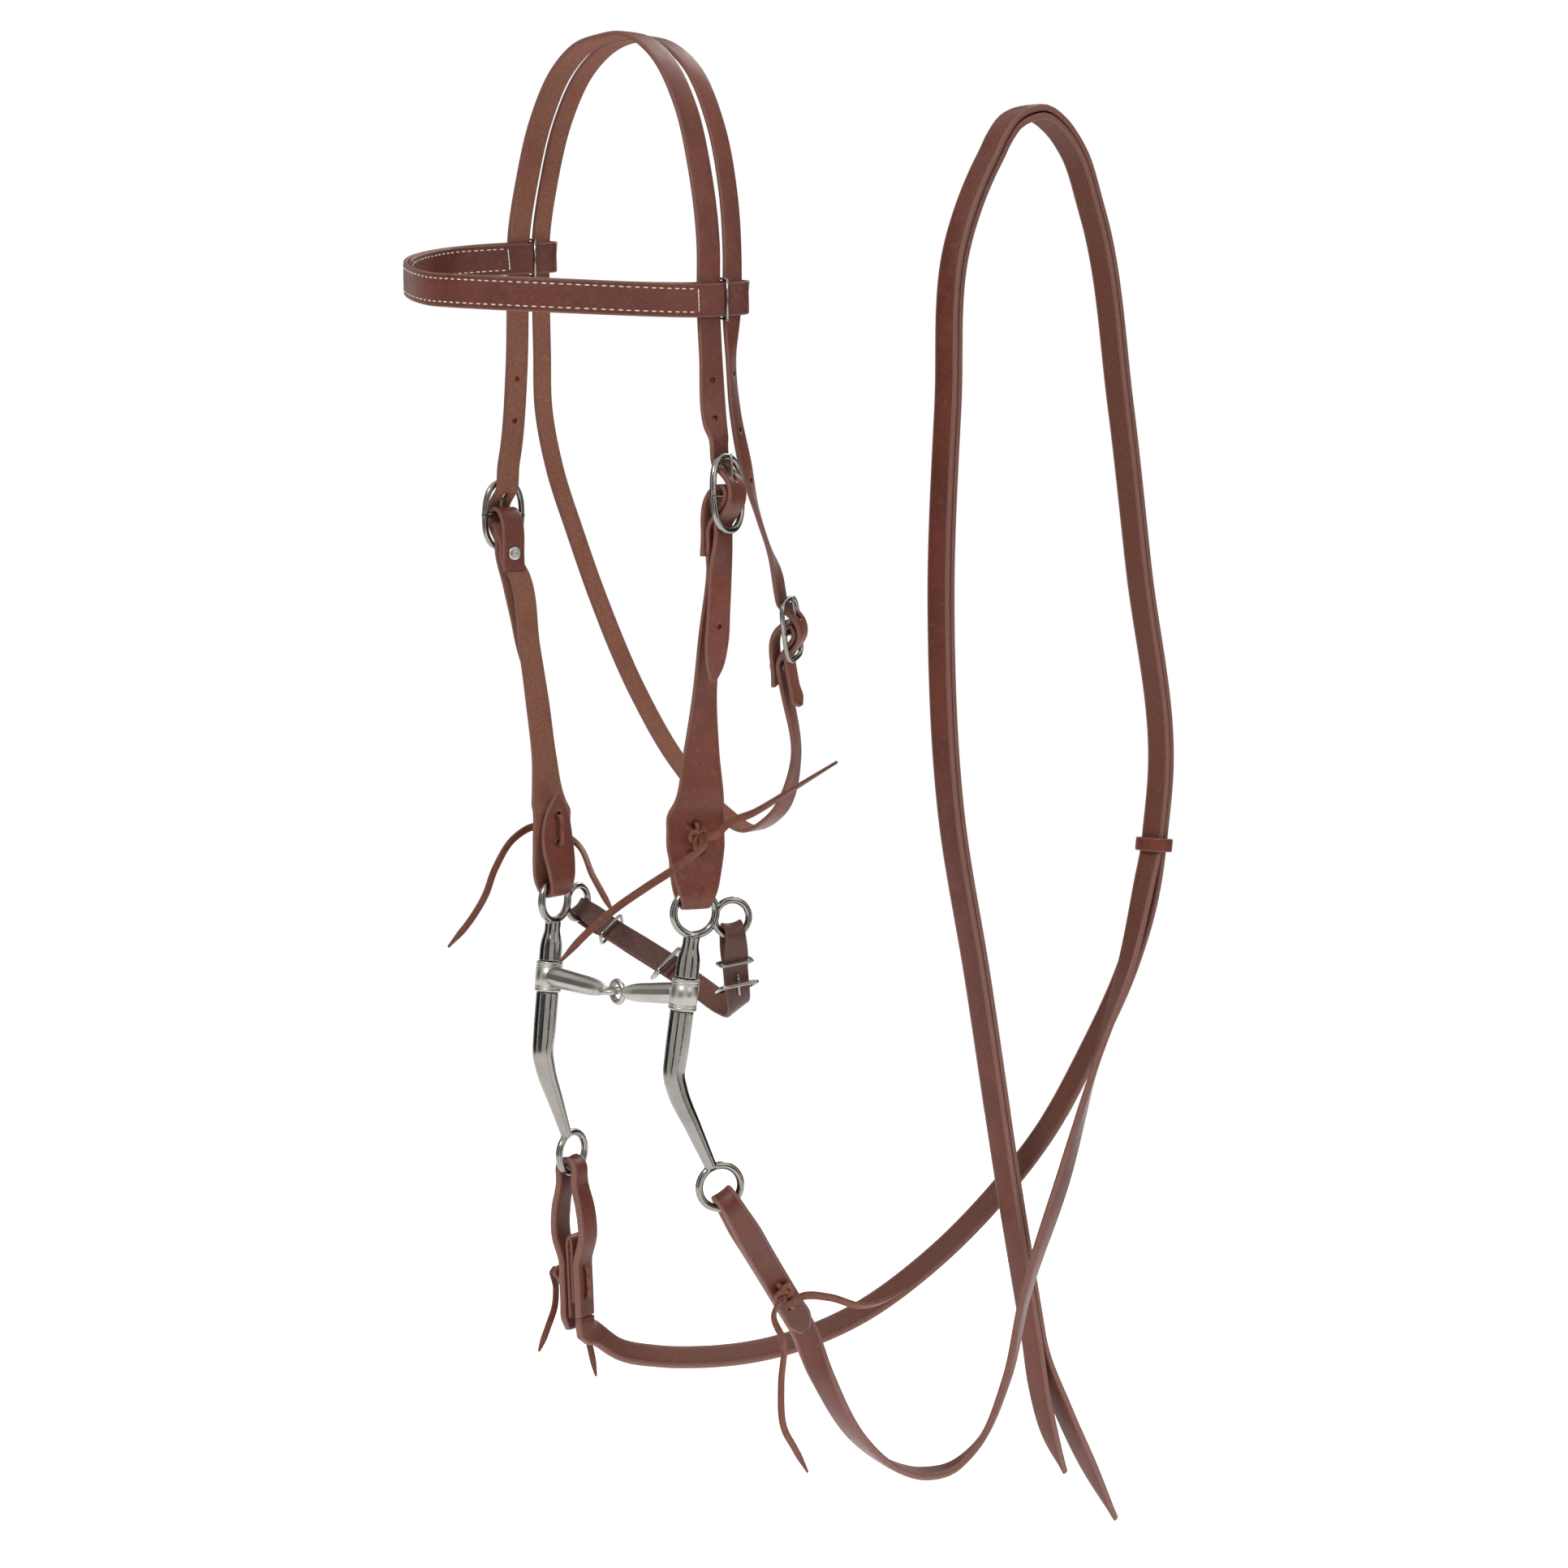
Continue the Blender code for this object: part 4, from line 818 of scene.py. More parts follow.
def throatlatch_strap():
    """The throatlatch runs over the poll beside the crown, down the right side, under the throat and up
    to its buckle on the left."""
    y = THROAT_Y
    over = [
        (88, 47, -303), (95, 33, -281), (100.5, 19, -250), (101, 12, -222), (100.3, 9.5, -192),
        (100.9, y - 0.2, -160), (100.7, y + 0.2, -132), (93, y + 3, -95), (81, y + 3, -56),
        (59, y + 2, -21), (30, y + 1, -3), (4, y, 2), (-24, y, 0), (-50, y, -12), (-74, y, -38),
        (-91, y, -74), (-100.4, y, -107), (-101.2, y, -140), (-102, y + 1, -178), (-104, 13, -214),
        (-103, 21, -254), (-98, 32, -292), (-88, 44, -337), (-62, 57, -397), (-32, 67, -440),
        (-6, 79, -468), (15, 87, -479), (38, 91, -468), (60, 89, -432),
    ]  # fmt: skip
    face = [(-0.75, 0.62, 0.1)] * 2 + [(-0.4, 0.9, 0), (-0.5, 0.86, 0), (-0.55, 0.83, 0)]
    face += [(0, 1, 0)] * 13 + [(0, 1, 0.1)] * 4 + [(0, 1, 0.3)] * 4 + [(0.1, 1, 0.1)] * 2 + [(-0.5, 0.85, 0)]
    width = THROAT_WIDTH / MM
    tail = [(-0.4, 49), (-1.8, 46), (-3.2, 38), (-3.7, 30)]
    rows = in_buckle(THROAT_BUCKLE, tail, width, 1)
    rows[0] = (*rows[0][:6], 3 * MM)
    rows += in_buckle(THROAT_BUCKLE, BILLET_OVER_BAR, width, 1)[::-1]
    rows += [row(place, across, width) for place, across in zip(over, face)]
    chape = CHAPE_ROUND_BAR + [(-9.0, 38)]
    rows += in_buckle(THROAT_BUCKLE, chape, width, 1)[::-1]
    slots = [slot_at(THROAT_BUCKLE, 1.5, -10.5, 6.5), slot_at(THROAT_BUCKLE, 0, 0, 5.2)]
    slots += [slot_at(THROAT_BUCKLE, out, RIVET_DOWN, 1.5) for out in CHAPE_LAYERS]
    obj = strap("throatlatch", rows, LEATHER, (0.5, (0, 0, 1)))
    holes = [(99, 10, -200), (101, 12, -232), (101, 17, -264), (97, 27, -296)]
    punch(obj, LEATHER, cuts_at(rows, slots, 1.8 * MM) + holes_along(rows, holes, 1.6 * MM))
    return dress(obj, "strap", "headstall", ["throatlatch_strap"])


def cheekpiece(side_name):
    """From the rivet flap round the buckle's bar, down the cheek, through the bit's top ring and up
    inside."""
    side = SIDES[side_name]
    buckle, ring = CHEEK_BUCKLE[side_name], ring_frame(side)
    top = buckle.to_translation().z / MM
    bottom = ring.to_translation().z / MM
    ahead = (0, 1, 0)
    toed = (math.sin(SHANK_TOE) * side, math.cos(SHANK_TOE), 0)
    rows = in_buckle(buckle, CHAPE_ROUND_BAR, 16, side)
    for x, y, share, across, width in (
        (107, -5, 0.155, ahead, 16), (97, -4, 0.34, ahead, 16), (91, -3, 0.46, ahead, 17),
        (85, -1.5, 0.62, toed, 23), (81, -0.5, 0.74, toed, 32),
    ):  # fmt: skip
        rows.append(row((x * side, y, top + share * (bottom - top)), across, width))
    loop = [
        (1.8, 57, 36), (1.8, 51, 36), (2.3, 39, 36), (3.2, 33, 34), (5.4, 22, 29), (6.2, 14, 25),
        (5.6, 8.5, 21), (3.6, 4.9, 18.5), (0, 3.6, 18), (-3.6, 4.9, 18.5), (-5.6, 8.5, 21), (-6.2, 14, 24),
        (-5.4, 22, 27), (-3.2, 33, 30), (-2.3, 39, 30), (-1.8, 51, 26), (-2.0, 57, 21), (-3.0, 69, 3),
    ]  # fmt: skip
    rows += [row(at(ring, out, up) / MM, toed, width) for out, up, width in loop]
    slots = [slot_at(buckle, 0, 0, 5.2)]
    slots += [slot_at(buckle, out, RIVET_DOWN, 1.5) for out in CHAPE_LAYERS]
    slots += [slot_at(ring, out, -up, 2.5) for up in LACE_HOLES for out in (2.4, -2.4)]
    obj = strap(f"{side_name}_cheek", rows, LEATHER, (0.42, (side, 0, 0)), 2.5 * MM)
    punch(obj, LEATHER, cuts_at(rows, slots))
    return dress(obj, "strap", "headstall", [f"{side_name}_cheekpiece"])


# ---- buckles and rivets


def oval_outline(half_width, half_height, power, count):
    """A rounded outline in the XZ plane, between an ellipse (power 2) and a rectangle."""
    points = []
    for i in range(count):
        c, s = math.cos(math.tau * i / count), math.sin(math.tau * i / count)
        x = half_width * math.copysign(abs(c) ** (2 / power), c)
        z = half_height * math.copysign(abs(s) ** (2 / power), s)
        points.append((x, 0, z))
    return points


def buckle_frame(name, place, size, power, wire_radius, bar_radius, stands_for):
    """A cast buckle: a rounded loop and its bar, whose ends are peened over outside the loop."""
    half_width, half_height = size
    loop = wire(name, oval_outline(half_width, half_height, power, 96), wire_radius, closed=True, place=place)
    reach = half_width + wire_radius * 0.9
    bar = wire("bar", [(-reach, 0, 0), (reach, 0, 0)], bar_radius, place=place)
    return dress(cast(joined(name, [loop, bar]), 0.35 * MM), "nickel", "headstall", [stands_for])


def buckle_tongue(name, place, reach, radius, rest, body):
    """A wire hooked round the bar, through the billet and over the frame, its tip a little flattened."""
    hook = 1.8 * MM + 0.35 * MM + radius
    turns = [math.radians(a) for a in range(300, -1, -10)]
    points = [(0, hook * math.cos(a), -hook * math.sin(a)) for a in turns]
    points += [(0, hook + (rest - hook) * t, reach * t) for t in (0.2, 0.35, 0.55, 0.75, 0.93, 1.0)]
    radii = [radius] * (len(points) - 2) + [radius * 0.85, radius * 0.45]
    obj = wire(f"{name}_wire", points, radius, radii=radii, place=place)
    return dress(obj, "nickel", body, [name])


def rivet(name, place, length):
    """A tubular rivet: a domed head with a shallow dimple outside, and its flat burr inside."""
    head, shaft, burr = 4.5 * MM, 1.4 * MM, 3.2 * MM
    profile = [
        (0, length + 0.2 * MM), (shaft, length + 0.2 * MM), (burr, length), (burr, length - 0.7 * MM),
        (shaft, length - 0.7 * MM), (shaft, 0), (head, 0), (head, -0.35 * MM), (head * 0.86, -0.85 * MM),
        (head * 0.6, -1.15 * MM), (head * 0.3, -1.2 * MM), (head * 0.2, -0.95 * MM), (0, -0.85 * MM),
    ]  # fmt: skip
    return dress(lathe(f"{name}_turned", profile, place), "rivet", "headstall", [name])


def rivet_frame(buckle):
    """A frame at the rivet below a buckle's bar, whose Z points out of the strap."""
    place = Matrix.Translation((0, RIVET_OUT * MM, -RIVET_DOWN * MM))
    return buckle @ place @ Matrix.Rotation(-math.pi / 2, 4, "X")


# A buckle's half width and half height, its roundness, the radii of its wire and bar, and its tongue's
# reach, radius and rest, in millimetres
CHEEK_HARDWARE = ((13.5, 21), 2.5, (2.0, 1.8), (22.5, 1.15, 3.6))
THROAT_HARDWARE = ((11, 18.5), 4, (1.6, 1.6), (21, 1.1, 3.2))


def hardware(name, place, sizes):
    """A buckle, its tongue and the rivet below it."""
    outline, power, wires, tongue = sizes
    size, radii, hook = ([value * MM for value in group] for group in (outline, wires, tongue))
    buckle_frame(f"{name}_buckle_cast", place, size, power, *radii, f"{name}_buckle")
    buckle_tongue(f"{name}_buckle_tongue", place, *hook, f"{name}_tongue")
    rivet(f"{name}_rivet", rivet_frame(place), RIVET_LENGTH)


# ---- browband


def browband_plan(angle, inset):
    """A point of the browband's arch. inset is how far it lies inside the outer face's own line."""
    x = (104.8 - inset) * math.cos(angle)
    y = -14 - (118 - inset) * math.sin(angle)
    return x, y


def browband_level(x, y):
    """The band's height: it dips to the left and to the front, and bows up a little on the left."""
    bow = BROWBAND_BOW * max(x, 0) * min(y + 14, 0)
    return BROWBAND_Z + BROWBAND_SLOPE * x + BROWBAND_DIP * (y + 10) - bow


def browband_row(x, y):
    return row((x, y, browband_level(x, y)), (0, 0, 1), BROWBAND_HEIGHT / MM)


def browband():
    """A double band across the forehead. Each end is folded back on itself round the two cheek straps."""
    layer = 2.8
    end = [
        (97.0, -36), (97.0, -22), (96.8, -8), (96.7, 4), (96.9, 14), (98.2, 18.6), (100.8, 20.4),
        (103.4, 18.6), (104.9, 14), (105.0, 4), (104.9, -8),
    ]  # fmt: skip
    points = [browband_plan(math.radians(a), layer) for a in range(62, 18, -8)]
    points += end
    points += [browband_plan(math.radians(a), 0) for a in range(8, 180, 8)]
    points += [(-x, y) for x, y in end[::-1]]
    points += [browband_plan(math.radians(a), layer) for a in range(158, 117, -8)]
    rows = [browband_row(x, y) for x, y in points]
    obj = strap("forehead_band", rows, BROWBAND_LEATHER, (0.5, (0, -1, 0)))
    dress(obj, "band", "browband_body", ["browband"])

    def ahead_of_straps(place):
        return place.y < -17 * MM

    def outward(place):
        return (place.x, place.y, 0)

    def inward(place):
        return (-place.x, -place.y, 0)

    for side in (outward, inward):
        name = f"browband_stitches_{side.__name__}"
        seam = stitch_rows(name, rows, 3.0 * MM, 4.8 * MM, side, BROWBAND_LEATHER, ahead_of_straps)
        dress(seam, "thread", "browband_body")


def browband_staple(side_name):
    """A flat wire staple that closes the band between the two straps: a rectangle round the folded end."""
    side = SIDES[side_name]
    y, x_out, x_in = 1.9, 107.3, 94.8
    rise = BROWBAND_HEIGHT / MM / 2 + 1.8
    corners = [(x_out, rise), (x_in, rise), (x_in, -rise), (x_out, -rise)]
    points = [Vector((x * side, y, browband_level(x * side, y) + up)) * MM for x, up in corners]
    obj = wire(f"{side_name}_staple_wire", points, 0.95 * MM, closed=True)
    return dress(obj, "nickel", "browband_body", [f"{side_name}_browband_staple"])


# ---- bit


def shank(side_name):
    side = SIDES[side_name]
    place = shank_frame(side)
    name = f"{side_name}_shank"
    half = SLEEVE_HEIGHT / 2 + 0.4 * MM
    stations = [(0, -14 * MM, 5.2 * MM), (0, -19 * MM, 5.0 * MM), (0, -27 * MM, SHANK_RADIUS - 0.4 * MM)]
    for z, radius in (
        (-SLEEVE_DROP + half + 0.06 * MM, SHANK_RADIUS), (-SLEEVE_DROP + half, NECK_RADIUS),
        (-SLEEVE_DROP - half, NECK_RADIUS), (-SLEEVE_DROP - half - 0.06 * MM, SHANK_RADIUS),
        (-BEND_DROP + 14 * MM, SHANK_RADIUS - 0.2 * MM), (-BEND_DROP + 6 * MM, SHANK_RADIUS - 0.5 * MM),
    ):  # fmt: skip
        stations.append((0, z, radius))
    sweep = math.atan2(BOTTOM_RING_BACK, BOTTOM_RING_DROP - BEND_DROP)
    length = math.hypot(BOTTOM_RING_BACK, BOTTOM_RING_DROP - BEND_DROP) - RING_RADIUS
    for along, radius in ((-1, 6.6), (3, 6.5), (9, 6.3), (30, 5.2), (48, 4.3), (length / MM, 3.7)):
        bow = 1.6 if along < 0 else 0.9 if along < 5 else 0
        back, down = along * math.sin(sweep) + bow, along * math.cos(sweep)
        stations.append((back * MM, -BEND_DROP - down * MM, radius * MM))
    stations = [(0, *station) for station in stations]
    rows = np.vstack([smooth(stations[:4], 2 * MM), stations[4:6], smooth(stations[6:], 2 * MM)])
    bar = wire("bar", rows[:, :3].tolist(), SHANK_RADIUS, radii=rows[:, 3].tolist(), place=place)
    pieces = [bar]
    for part, centre, radius, minor in (
        ("top_ring", (0, 0, 0), RING_RADIUS, RING_WIRE),
        ("curb_eye", (0, CURB_EYE_BACK, -CURB_EYE_DROP), CURB_EYE_RADIUS, CURB_EYE_WIRE),
        ("bottom_ring", (0, BOTTOM_RING_BACK, -BOTTOM_RING_DROP), RING_RADIUS, RING_WIRE),
    ):
        pieces.append(torus(f"{name}_{part}", centre, radius, minor + RING_FILL, "X", place))
    obj = cast(joined(f"{name}_cast", pieces), 0.5 * MM, 4)
    return dress(obj, "nickel", f"{side_name}_shank_body", [name])


def mouth_frame():
    """The frame of the mouth: origin half way between the sleeves, X towards the left one."""
    left, right = (shank_frame(side) @ Vector((0, 0, -SLEEVE_DROP)) for side in (1, -1))
    along = (left - right).normalized()
    up = Vector((0, 0, 1)) - along * along.z
    return frame_at((left + right) / 2 / MM, up.cross(along), up), (left - right).length / 2


EYE_RADIUS, EYE_WIRE = 6.4 * MM, 1.9 * MM
EYE_OFFSET = 3.5 * MM  # from the middle of the mouth to the centre of each eye
MOUTH_DROOP = 4 * MM


def mouthpiece(side_name):
    """One half of the mouth: the sleeve that turns on the shank, the bar, and the eye that links with the
    other."""
    side = SIDES[side_name]
    name = f"{side_name}_mouthpiece"
    frame, half_span = mouth_frame()
    place = frame @ Matrix.Translation((half_span * side, 0, 0))
    turn = place.to_3x3().inverted() @ shank_frame(side).to_3x3()
    eye = Vector((EYE_OFFSET * side - half_span * side, 0, -MOUTH_DROOP))
    toward = Vector((-side, 0, 0))
    start, end = toward * 6 * MM, eye - toward * (EYE_RADIUS + 1 * MM)
    points = [start.lerp(end, t) for t in (0, 0.12, 0.45, 0.8, 0.93, 1)]
    radii = [r * MM for r in (6.6, 6.6, 6.2, 5.4, 4.2, 3.0)]
    rows = smooth([(*point, radius) for point, radius in zip(points, radii)], 2 * MM)
    bar = wire("bar", rows[:, :3].tolist(), 6.6 * MM, radii=rows[:, 3].tolist(), place=place)
    ring = torus("eye", eye, EYE_RADIUS, EYE_WIRE, "Y" if side > 0 else "Z", place=place)
    obj = cast(joined(f"{name}_cast", [bar, ring]), 0.5 * MM)
    sleeve_turn = place @ turn.to_4x4()
    punch_bore(obj, sleeve_turn)
    dress(obj, "satin", f"{side_name}_mouth", [name])
    half, groove = SLEEVE_HEIGHT / 2, 0.5 * MM
    outer = [(SLEEVE_BORE, half), (SLEEVE_RADIUS - 0.5 * MM, half), (SLEEVE_RADIUS, half - 0.5 * MM)]
    for drop in (2.2, 3.6):
        for up, depth in ((0.3 * MM, 0), (0, groove), (-0.3 * MM, 0)):
            outer.append((SLEEVE_RADIUS - depth, half - drop * MM + up))
    profile = outer + [(r, -z) for r, z in outer[::-1]] + [(SLEEVE_BORE, half)]
    sleeve = lathe(f"{name}_sleeve", profile, sleeve_turn, 64)
    return dress(sleeve, "satin", f"{side_name}_mouth")


def punch_bore(obj, turn):
    """Clears the bar out of the sleeve's bore, where the shank turns."""
    reach, radius = 15 * MM, 7 * MM
    profile = [(0, reach), (radius, reach), (radius, -reach), (0, -reach)]
    take_away(obj, "bore", lathe(f"{obj.name}_bore", profile, turn))


# ---- laces


TIE_DEPTH = 6.2  # from the middle of the cheekpiece's fold to the lace over each face
CHEEK_KNOT_UP, REIN_KNOT_DOWN = 45, 6


def knot(name, place, centre, size):
    """An overhand knot in a round lace: a trefoil pulled tight."""
    points = []
    for i in range(72):
        t = math.tau * i / 72
        x, y = math.sin(t) + 2 * math.sin(2 * t), math.cos(t) - 2 * math.cos(2 * t)
        points.append(Vector(centre) + Vector((x * size[0], -math.sin(3 * t) * size[1], y * size[2])) / 3)
    return wire(name, points, 1.75 * MM, closed=True, place=place)


def tie(name, place, half_depth, low, high, knot_up, body):
    """A lace threaded through two holes, over both faces, and knotted outside."""
    corner = 1.6
    outline = [
        (half_depth, low + corner), (half_depth, high - corner), (half_depth - corner, high),
        (-half_depth + corner, high), (-half_depth, high - corner), (-half_depth, low + corner),
        (-half_depth + corner, low), (half_depth - corner, low),
    ]  # fmt: skip
    points = [(0, out * MM, up * MM) for out, up in outline]
    loop = wire("loop", points, 1.6 * MM, closed=True, place=place)
    centre = (0, (half_depth + 2.2) * MM, knot_up * MM)
    obj = joined(f"{name}_knotted", [loop, knot("knot", place, centre, (5.6 * MM, 2.2 * MM, 6.4 * MM))])
    return dress(shade_smooth(obj), "lace", body, [name])


def cheek_lace(side_name):
    side = SIDES[side_name]
    name = f"{side_name}_cheek_lace_tie"
    return tie(name, ring_frame(side), TIE_DEPTH, *LACE_HOLES, CHEEK_KNOT_UP, "headstall")


# Free lace ends, from the knot outwards, in millimetres
LACES = {
    "left_cheek_lace_front": [
        (92, -4, -473), (93, -24, -485), (94, -47, -495), (100, -74, -505), (105, -98, -517),
        (108, -117, -530),
    ],
    "left_cheek_lace_rear": [
        (92, 4, -469), (90, 13, -464), (84, 38, -459), (76, 69, -450), (68, 97, -442), (62, 120, -435),
    ],
    "right_cheek_lace_front": [
        (-92, -5, -481), (-94, -18, -487), (-98, -31, -507), (-102, -36, -524), (-106, -46, -541),
        (-110, -59, -556),
    ],
    "right_cheek_lace_rear": [
        (-92, 4, -481), (-91, 16, -487), (-84, 21, -492), (-60, 19, -512), (-36, 17, -531),
    ],
    "left_rein_lace_rear": [
        (85.6, 61.5, -765), (85, 75, -763), (84, 97, -768), (82, 124, -779), (76, 147, -782), (72, 170, -779),
    ],
    "left_rein_lace_low": [
        (83, 54, -771), (85, 60, -789), (84, 59, -815), (82, 62, -843), (77, 76, -864), (75, 87, -881),
    ],
    "right_rein_lace_front": [
        (-95, 8, -775), (-96, 11, -787), (-94, 9, -799), (-90, 1, -811), (-86, -9, -825),
    ],
    "right_rein_lace_rear": [
        (-95, 17, -773), (-96, 22, -784), (-92, 26, -804), (-86, 30, -826), (-82, 33, -849),
    ],
}  # fmt: skip


LACE_WIDTH = 5.4
LACE_THICKNESS = 1.9 * MM


def knot_place(name):
    """The middle, in millimetres, of the knot that a lace end comes out of."""
    side_name, part = name.split("_")[:2]
    if part == "cheek":
        frame, out, up = ring_frame(SIDES[side_name]), TIE_DEPTH, CHEEK_KNOT_UP
    else:
        frame, out = REIN_FOLD[side_name], rein_tie_depth(side_name)
        up = -REIN_TIE[side_name][0] - REIN_KNOT_DOWN
    return at(frame, out + 1.5, up) / MM


def lace_end(name, route):
    """The free end of a lace: a flat thong that twists a little and narrows to its tip."""
    middle = smooth([knot_place(name)] + route, 4)
    rows = []
    for i, place in enumerate(middle):
        ahead = Vector(middle[min(i + 1, len(middle) - 1)]) - Vector(middle[max(i - 1, 0)])
        share = i / (len(middle) - 1)
        across = Matrix.Rotation(1.3 * share - 0.3, 3, ahead.normalized()) @ ahead.cross(Vector((1, 0.3, 0)))
        taper = 1 - 0.25 * share if share < 0.9 else 0.75 - 4.5 * (share - 0.9)
        rows.append(row(place, across, LACE_WIDTH * taper))
    body = "headstall" if "cheek" in name else f"{name.split('_')[0]}_shank_body"
    thong = strap(f"{name}_thong", rows, LACE_THICKNESS, (0.3, (1, -1, 0)), 2 * MM)
    obj = dress(thong, "lace", body, [name])


# ---- curb strap

# The strap hangs from the curb eyes: each end is doubled back through its eye.
CURB_EYES = {
    "left": wire_frame(1, CURB_EYE_BACK, CURB_EYE_DROP, CURB_EYE_RADIUS, 0.2, (-0.12, 0.18, -0.97)),
    "right": wire_frame(-1, CURB_EYE_BACK, CURB_EYE_DROP, CURB_EYE_RADIUS, 0.9, (0.89, 0.26, -0.37)),
}


def hung_rows(frame, profile, like, width):
    """Strap rows in a frame on a ring's wire, whose Z is against the pull: profile is (outward, along the
    pull).

    The strap's width lies along the wire, turned the same way as the direction like. It is pinched where
    it bends over the wire.
    """
    across = frame.to_3x3() @ Vector((1, 0, 0))
    across *= math.copysign(1, across.dot(Vector(like)))
    rows = []
    for out, down in profile:
        pinched = width * (0.82 if down < 0 else 0.9 if down < 9 else 1)
        rows.append(row(at(frame, out, -down) / MM, across, pinched))
    return rows


CURB_FOLD = [(3.8, 10), (5.2, 4), (4.5, -3.8), (0, -6.6), (-4.5, -3.8), (-5.2, 4), (-3.8, 10)]
CURB_PLY = 1.5  # from the middle of the doubled strap to each layer's middle


def curb_strap():
    left, right = CURB_EYES["left"], CURB_EYES["right"]
    width = CURB_WIDTH / MM
    face, far_face = (0.35, 0.93, 0.2), (-0.2, 0.7, 0.7)
    rows = hung_rows(left, [(-CURB_PLY, 37), (-CURB_PLY, 20)] + CURB_FOLD[::-1], face, width)
    rows += hung_rows(left, [(CURB_PLY, 20), (CURB_PLY, 38)], face, width)
    for place, across in (
        ((77, 32, -575), (0.2, 0.9, 0.3)), ((69, 36, -580), (0.0, 0.9, 0.5)),
        ((50, 41, -581), (-0.1, 0.8, 0.6)), ((22, 45, -576), (-0.15, 0.75, 0.65)),
    ):  # fmt: skip
        rows.append(row(place, across, width))
    rows += hung_rows(right, [(CURB_PLY, 78), (CURB_PLY, 50), (CURB_PLY, 20)] + CURB_FOLD, far_face, width)
    rows += hung_rows(right, [(-CURB_PLY, 20), (-CURB_PLY, 50), (-CURB_PLY, 80)], far_face, width)
    obj = strap("curb_leather", rows, CURB_LEATHER, (0.3, (1, -0.5, 0)), 2 * MM)
    for frame_on_eye in (left, right):
        cup(obj, frame_on_eye, CURB_EYE_RADIUS, 2, 12)
    return dress(obj, "curb", "curb", ["curb_strap"])


def curb_band(name, frame, down, size, radius, tilt):
    """A wire rectangle round both layers of the curb strap."""
    turn = Matrix.Rotation(math.pi / 2 + tilt, 4, "X")
    place = frame @ Matrix.Translation((0, 0, -down * MM)) @ turn
    obj = wire(f"{name}_wire", oval_outline(*size, 6, 72), radius, closed=True, place=place)
    return dress(obj, "nickel", "curb", [name])


def curb_tongue(name, frame, down, out):
    """A small tongue lying along the outer layer, its point over the frame."""
    place = frame @ Matrix.Translation((0, out * MM, -down * MM))
    controls = [(0, 0, 0, 0.9), (0, 0, 7 * MM, 0.9), (0, 0.4 * MM, 12 * MM, 0.8), (0, 0, 14 * MM, 0.4)]
    rows = smooth(controls, 1 * MM)
    points, radii = rows[:, :3].tolist(), (rows[:, 3] * MM).tolist()
    return dress(wire(f"{name}_wire", points, 0.9 * MM, radii=radii, place=place), "nickel", "curb", [name])


def curb_hardware():
    for side_name, keeper_down, buckle_down in (("left", 17, 33), ("right", 24, 72)):
        frame = CURB_EYES[side_name]
        curb_band(f"{side_name}_curb_keeper", frame, keeper_down, (10 * MM, 5.8 * MM), 1.0 * MM, 0.15)
        curb_band(f"{side_name}_curb_buckle", frame, buckle_down, (11.5 * MM, 8.4 * MM), 1.3 * MM, 0.5)
        curb_tongue(f"{side_name}_curb_buckle_tongue", frame, buckle_down + 4, 4.1)


# ---- reins

# How far below the ring's wire are the two holes of the lace that closes the loop, and the long rein's start
REIN_TIE = {"left": (70, 92), "right": (62, 82)}
REIN_START = {"left": 104, "right": 94}
REIN_PLY = {"left": 2.7, "right": 6.0}  # from the middle of the loop to each layer's middle, at the tie
REIN_FOLD = {
    "left": wire_frame(1, BOTTOM_RING_BACK, BOTTOM_RING_DROP, RING_RADIUS, 0.6, (-0.11, 0.585, -0.804)),
    "right": wire_frame(-1, BOTTOM_RING_BACK, BOTTOM_RING_DROP, RING_RADIUS, 0.1, (0.06, 0.0, -1)),
}
REIN_FACE = {"left": (-0.3, -0.8, -0.6), "right": (-0.3, 0.95, 0)}
REIN_SEAM = 0.8  # the gap between the loop's end and the long rein
REIN_GAP = 5.6  # between the middles of the two reins where they lie together

# Each route starts at the tie. Places in millimetres, then the direction across the rein.
LEFT_REIN_LOW = [
    ((63, 108, -826), (-0.80, -0.28, -0.52)), ((55, 147, -880), (-0.87, 0.30, -0.40)),
    ((50, 180, -906), (-0.82, 0.5, -0.2)), ((46, 211, -919), (-0.79, 0.6, -0.1)),
    ((43, 238, -921), (-0.72, 0.68, -0.1)), ((41, 264, -910), (-0.65, 0.74, -0.12)),
    ((38, 291, -873), (-0.58, 0.79, -0.14)), ((35, 310, -820), (-0.5, 0.84, -0.2)),
    ((30, 351, -742), (-0.3, 0.93, -0.3)), ((26, 385, -666), (-0.7, 0.6, -0.2)),
    ((22, 420, -595), (-0.93, 0.1, 0)), ((20, 438, -540), (-0.95, -0.2, 0)),
]
SHARED_LOOP = [
    (20, 444, -518), (20, 450, -464), (18, 427, -320), (16, 409, -207), (14, 381, -76), (13, 360, -34),
    (12, 334, -17), (10, 312, -24), (8, 297, -46), (6, 270, -104), (5, 263, -210), (5, 258, -344),
    (5, 268, -481), (6, 292, -595), (6, 322, -742), (6, 349, -863),
]
LEFT_TIP = [((8, 374, -920), 17), ((9, 400, -968), 15), ((10, 427, -1013), 3)]
RIGHT_TIP = [((6, 352, -900), 17), ((6, 364, -938), 14), ((6, 379, -968), 3)]
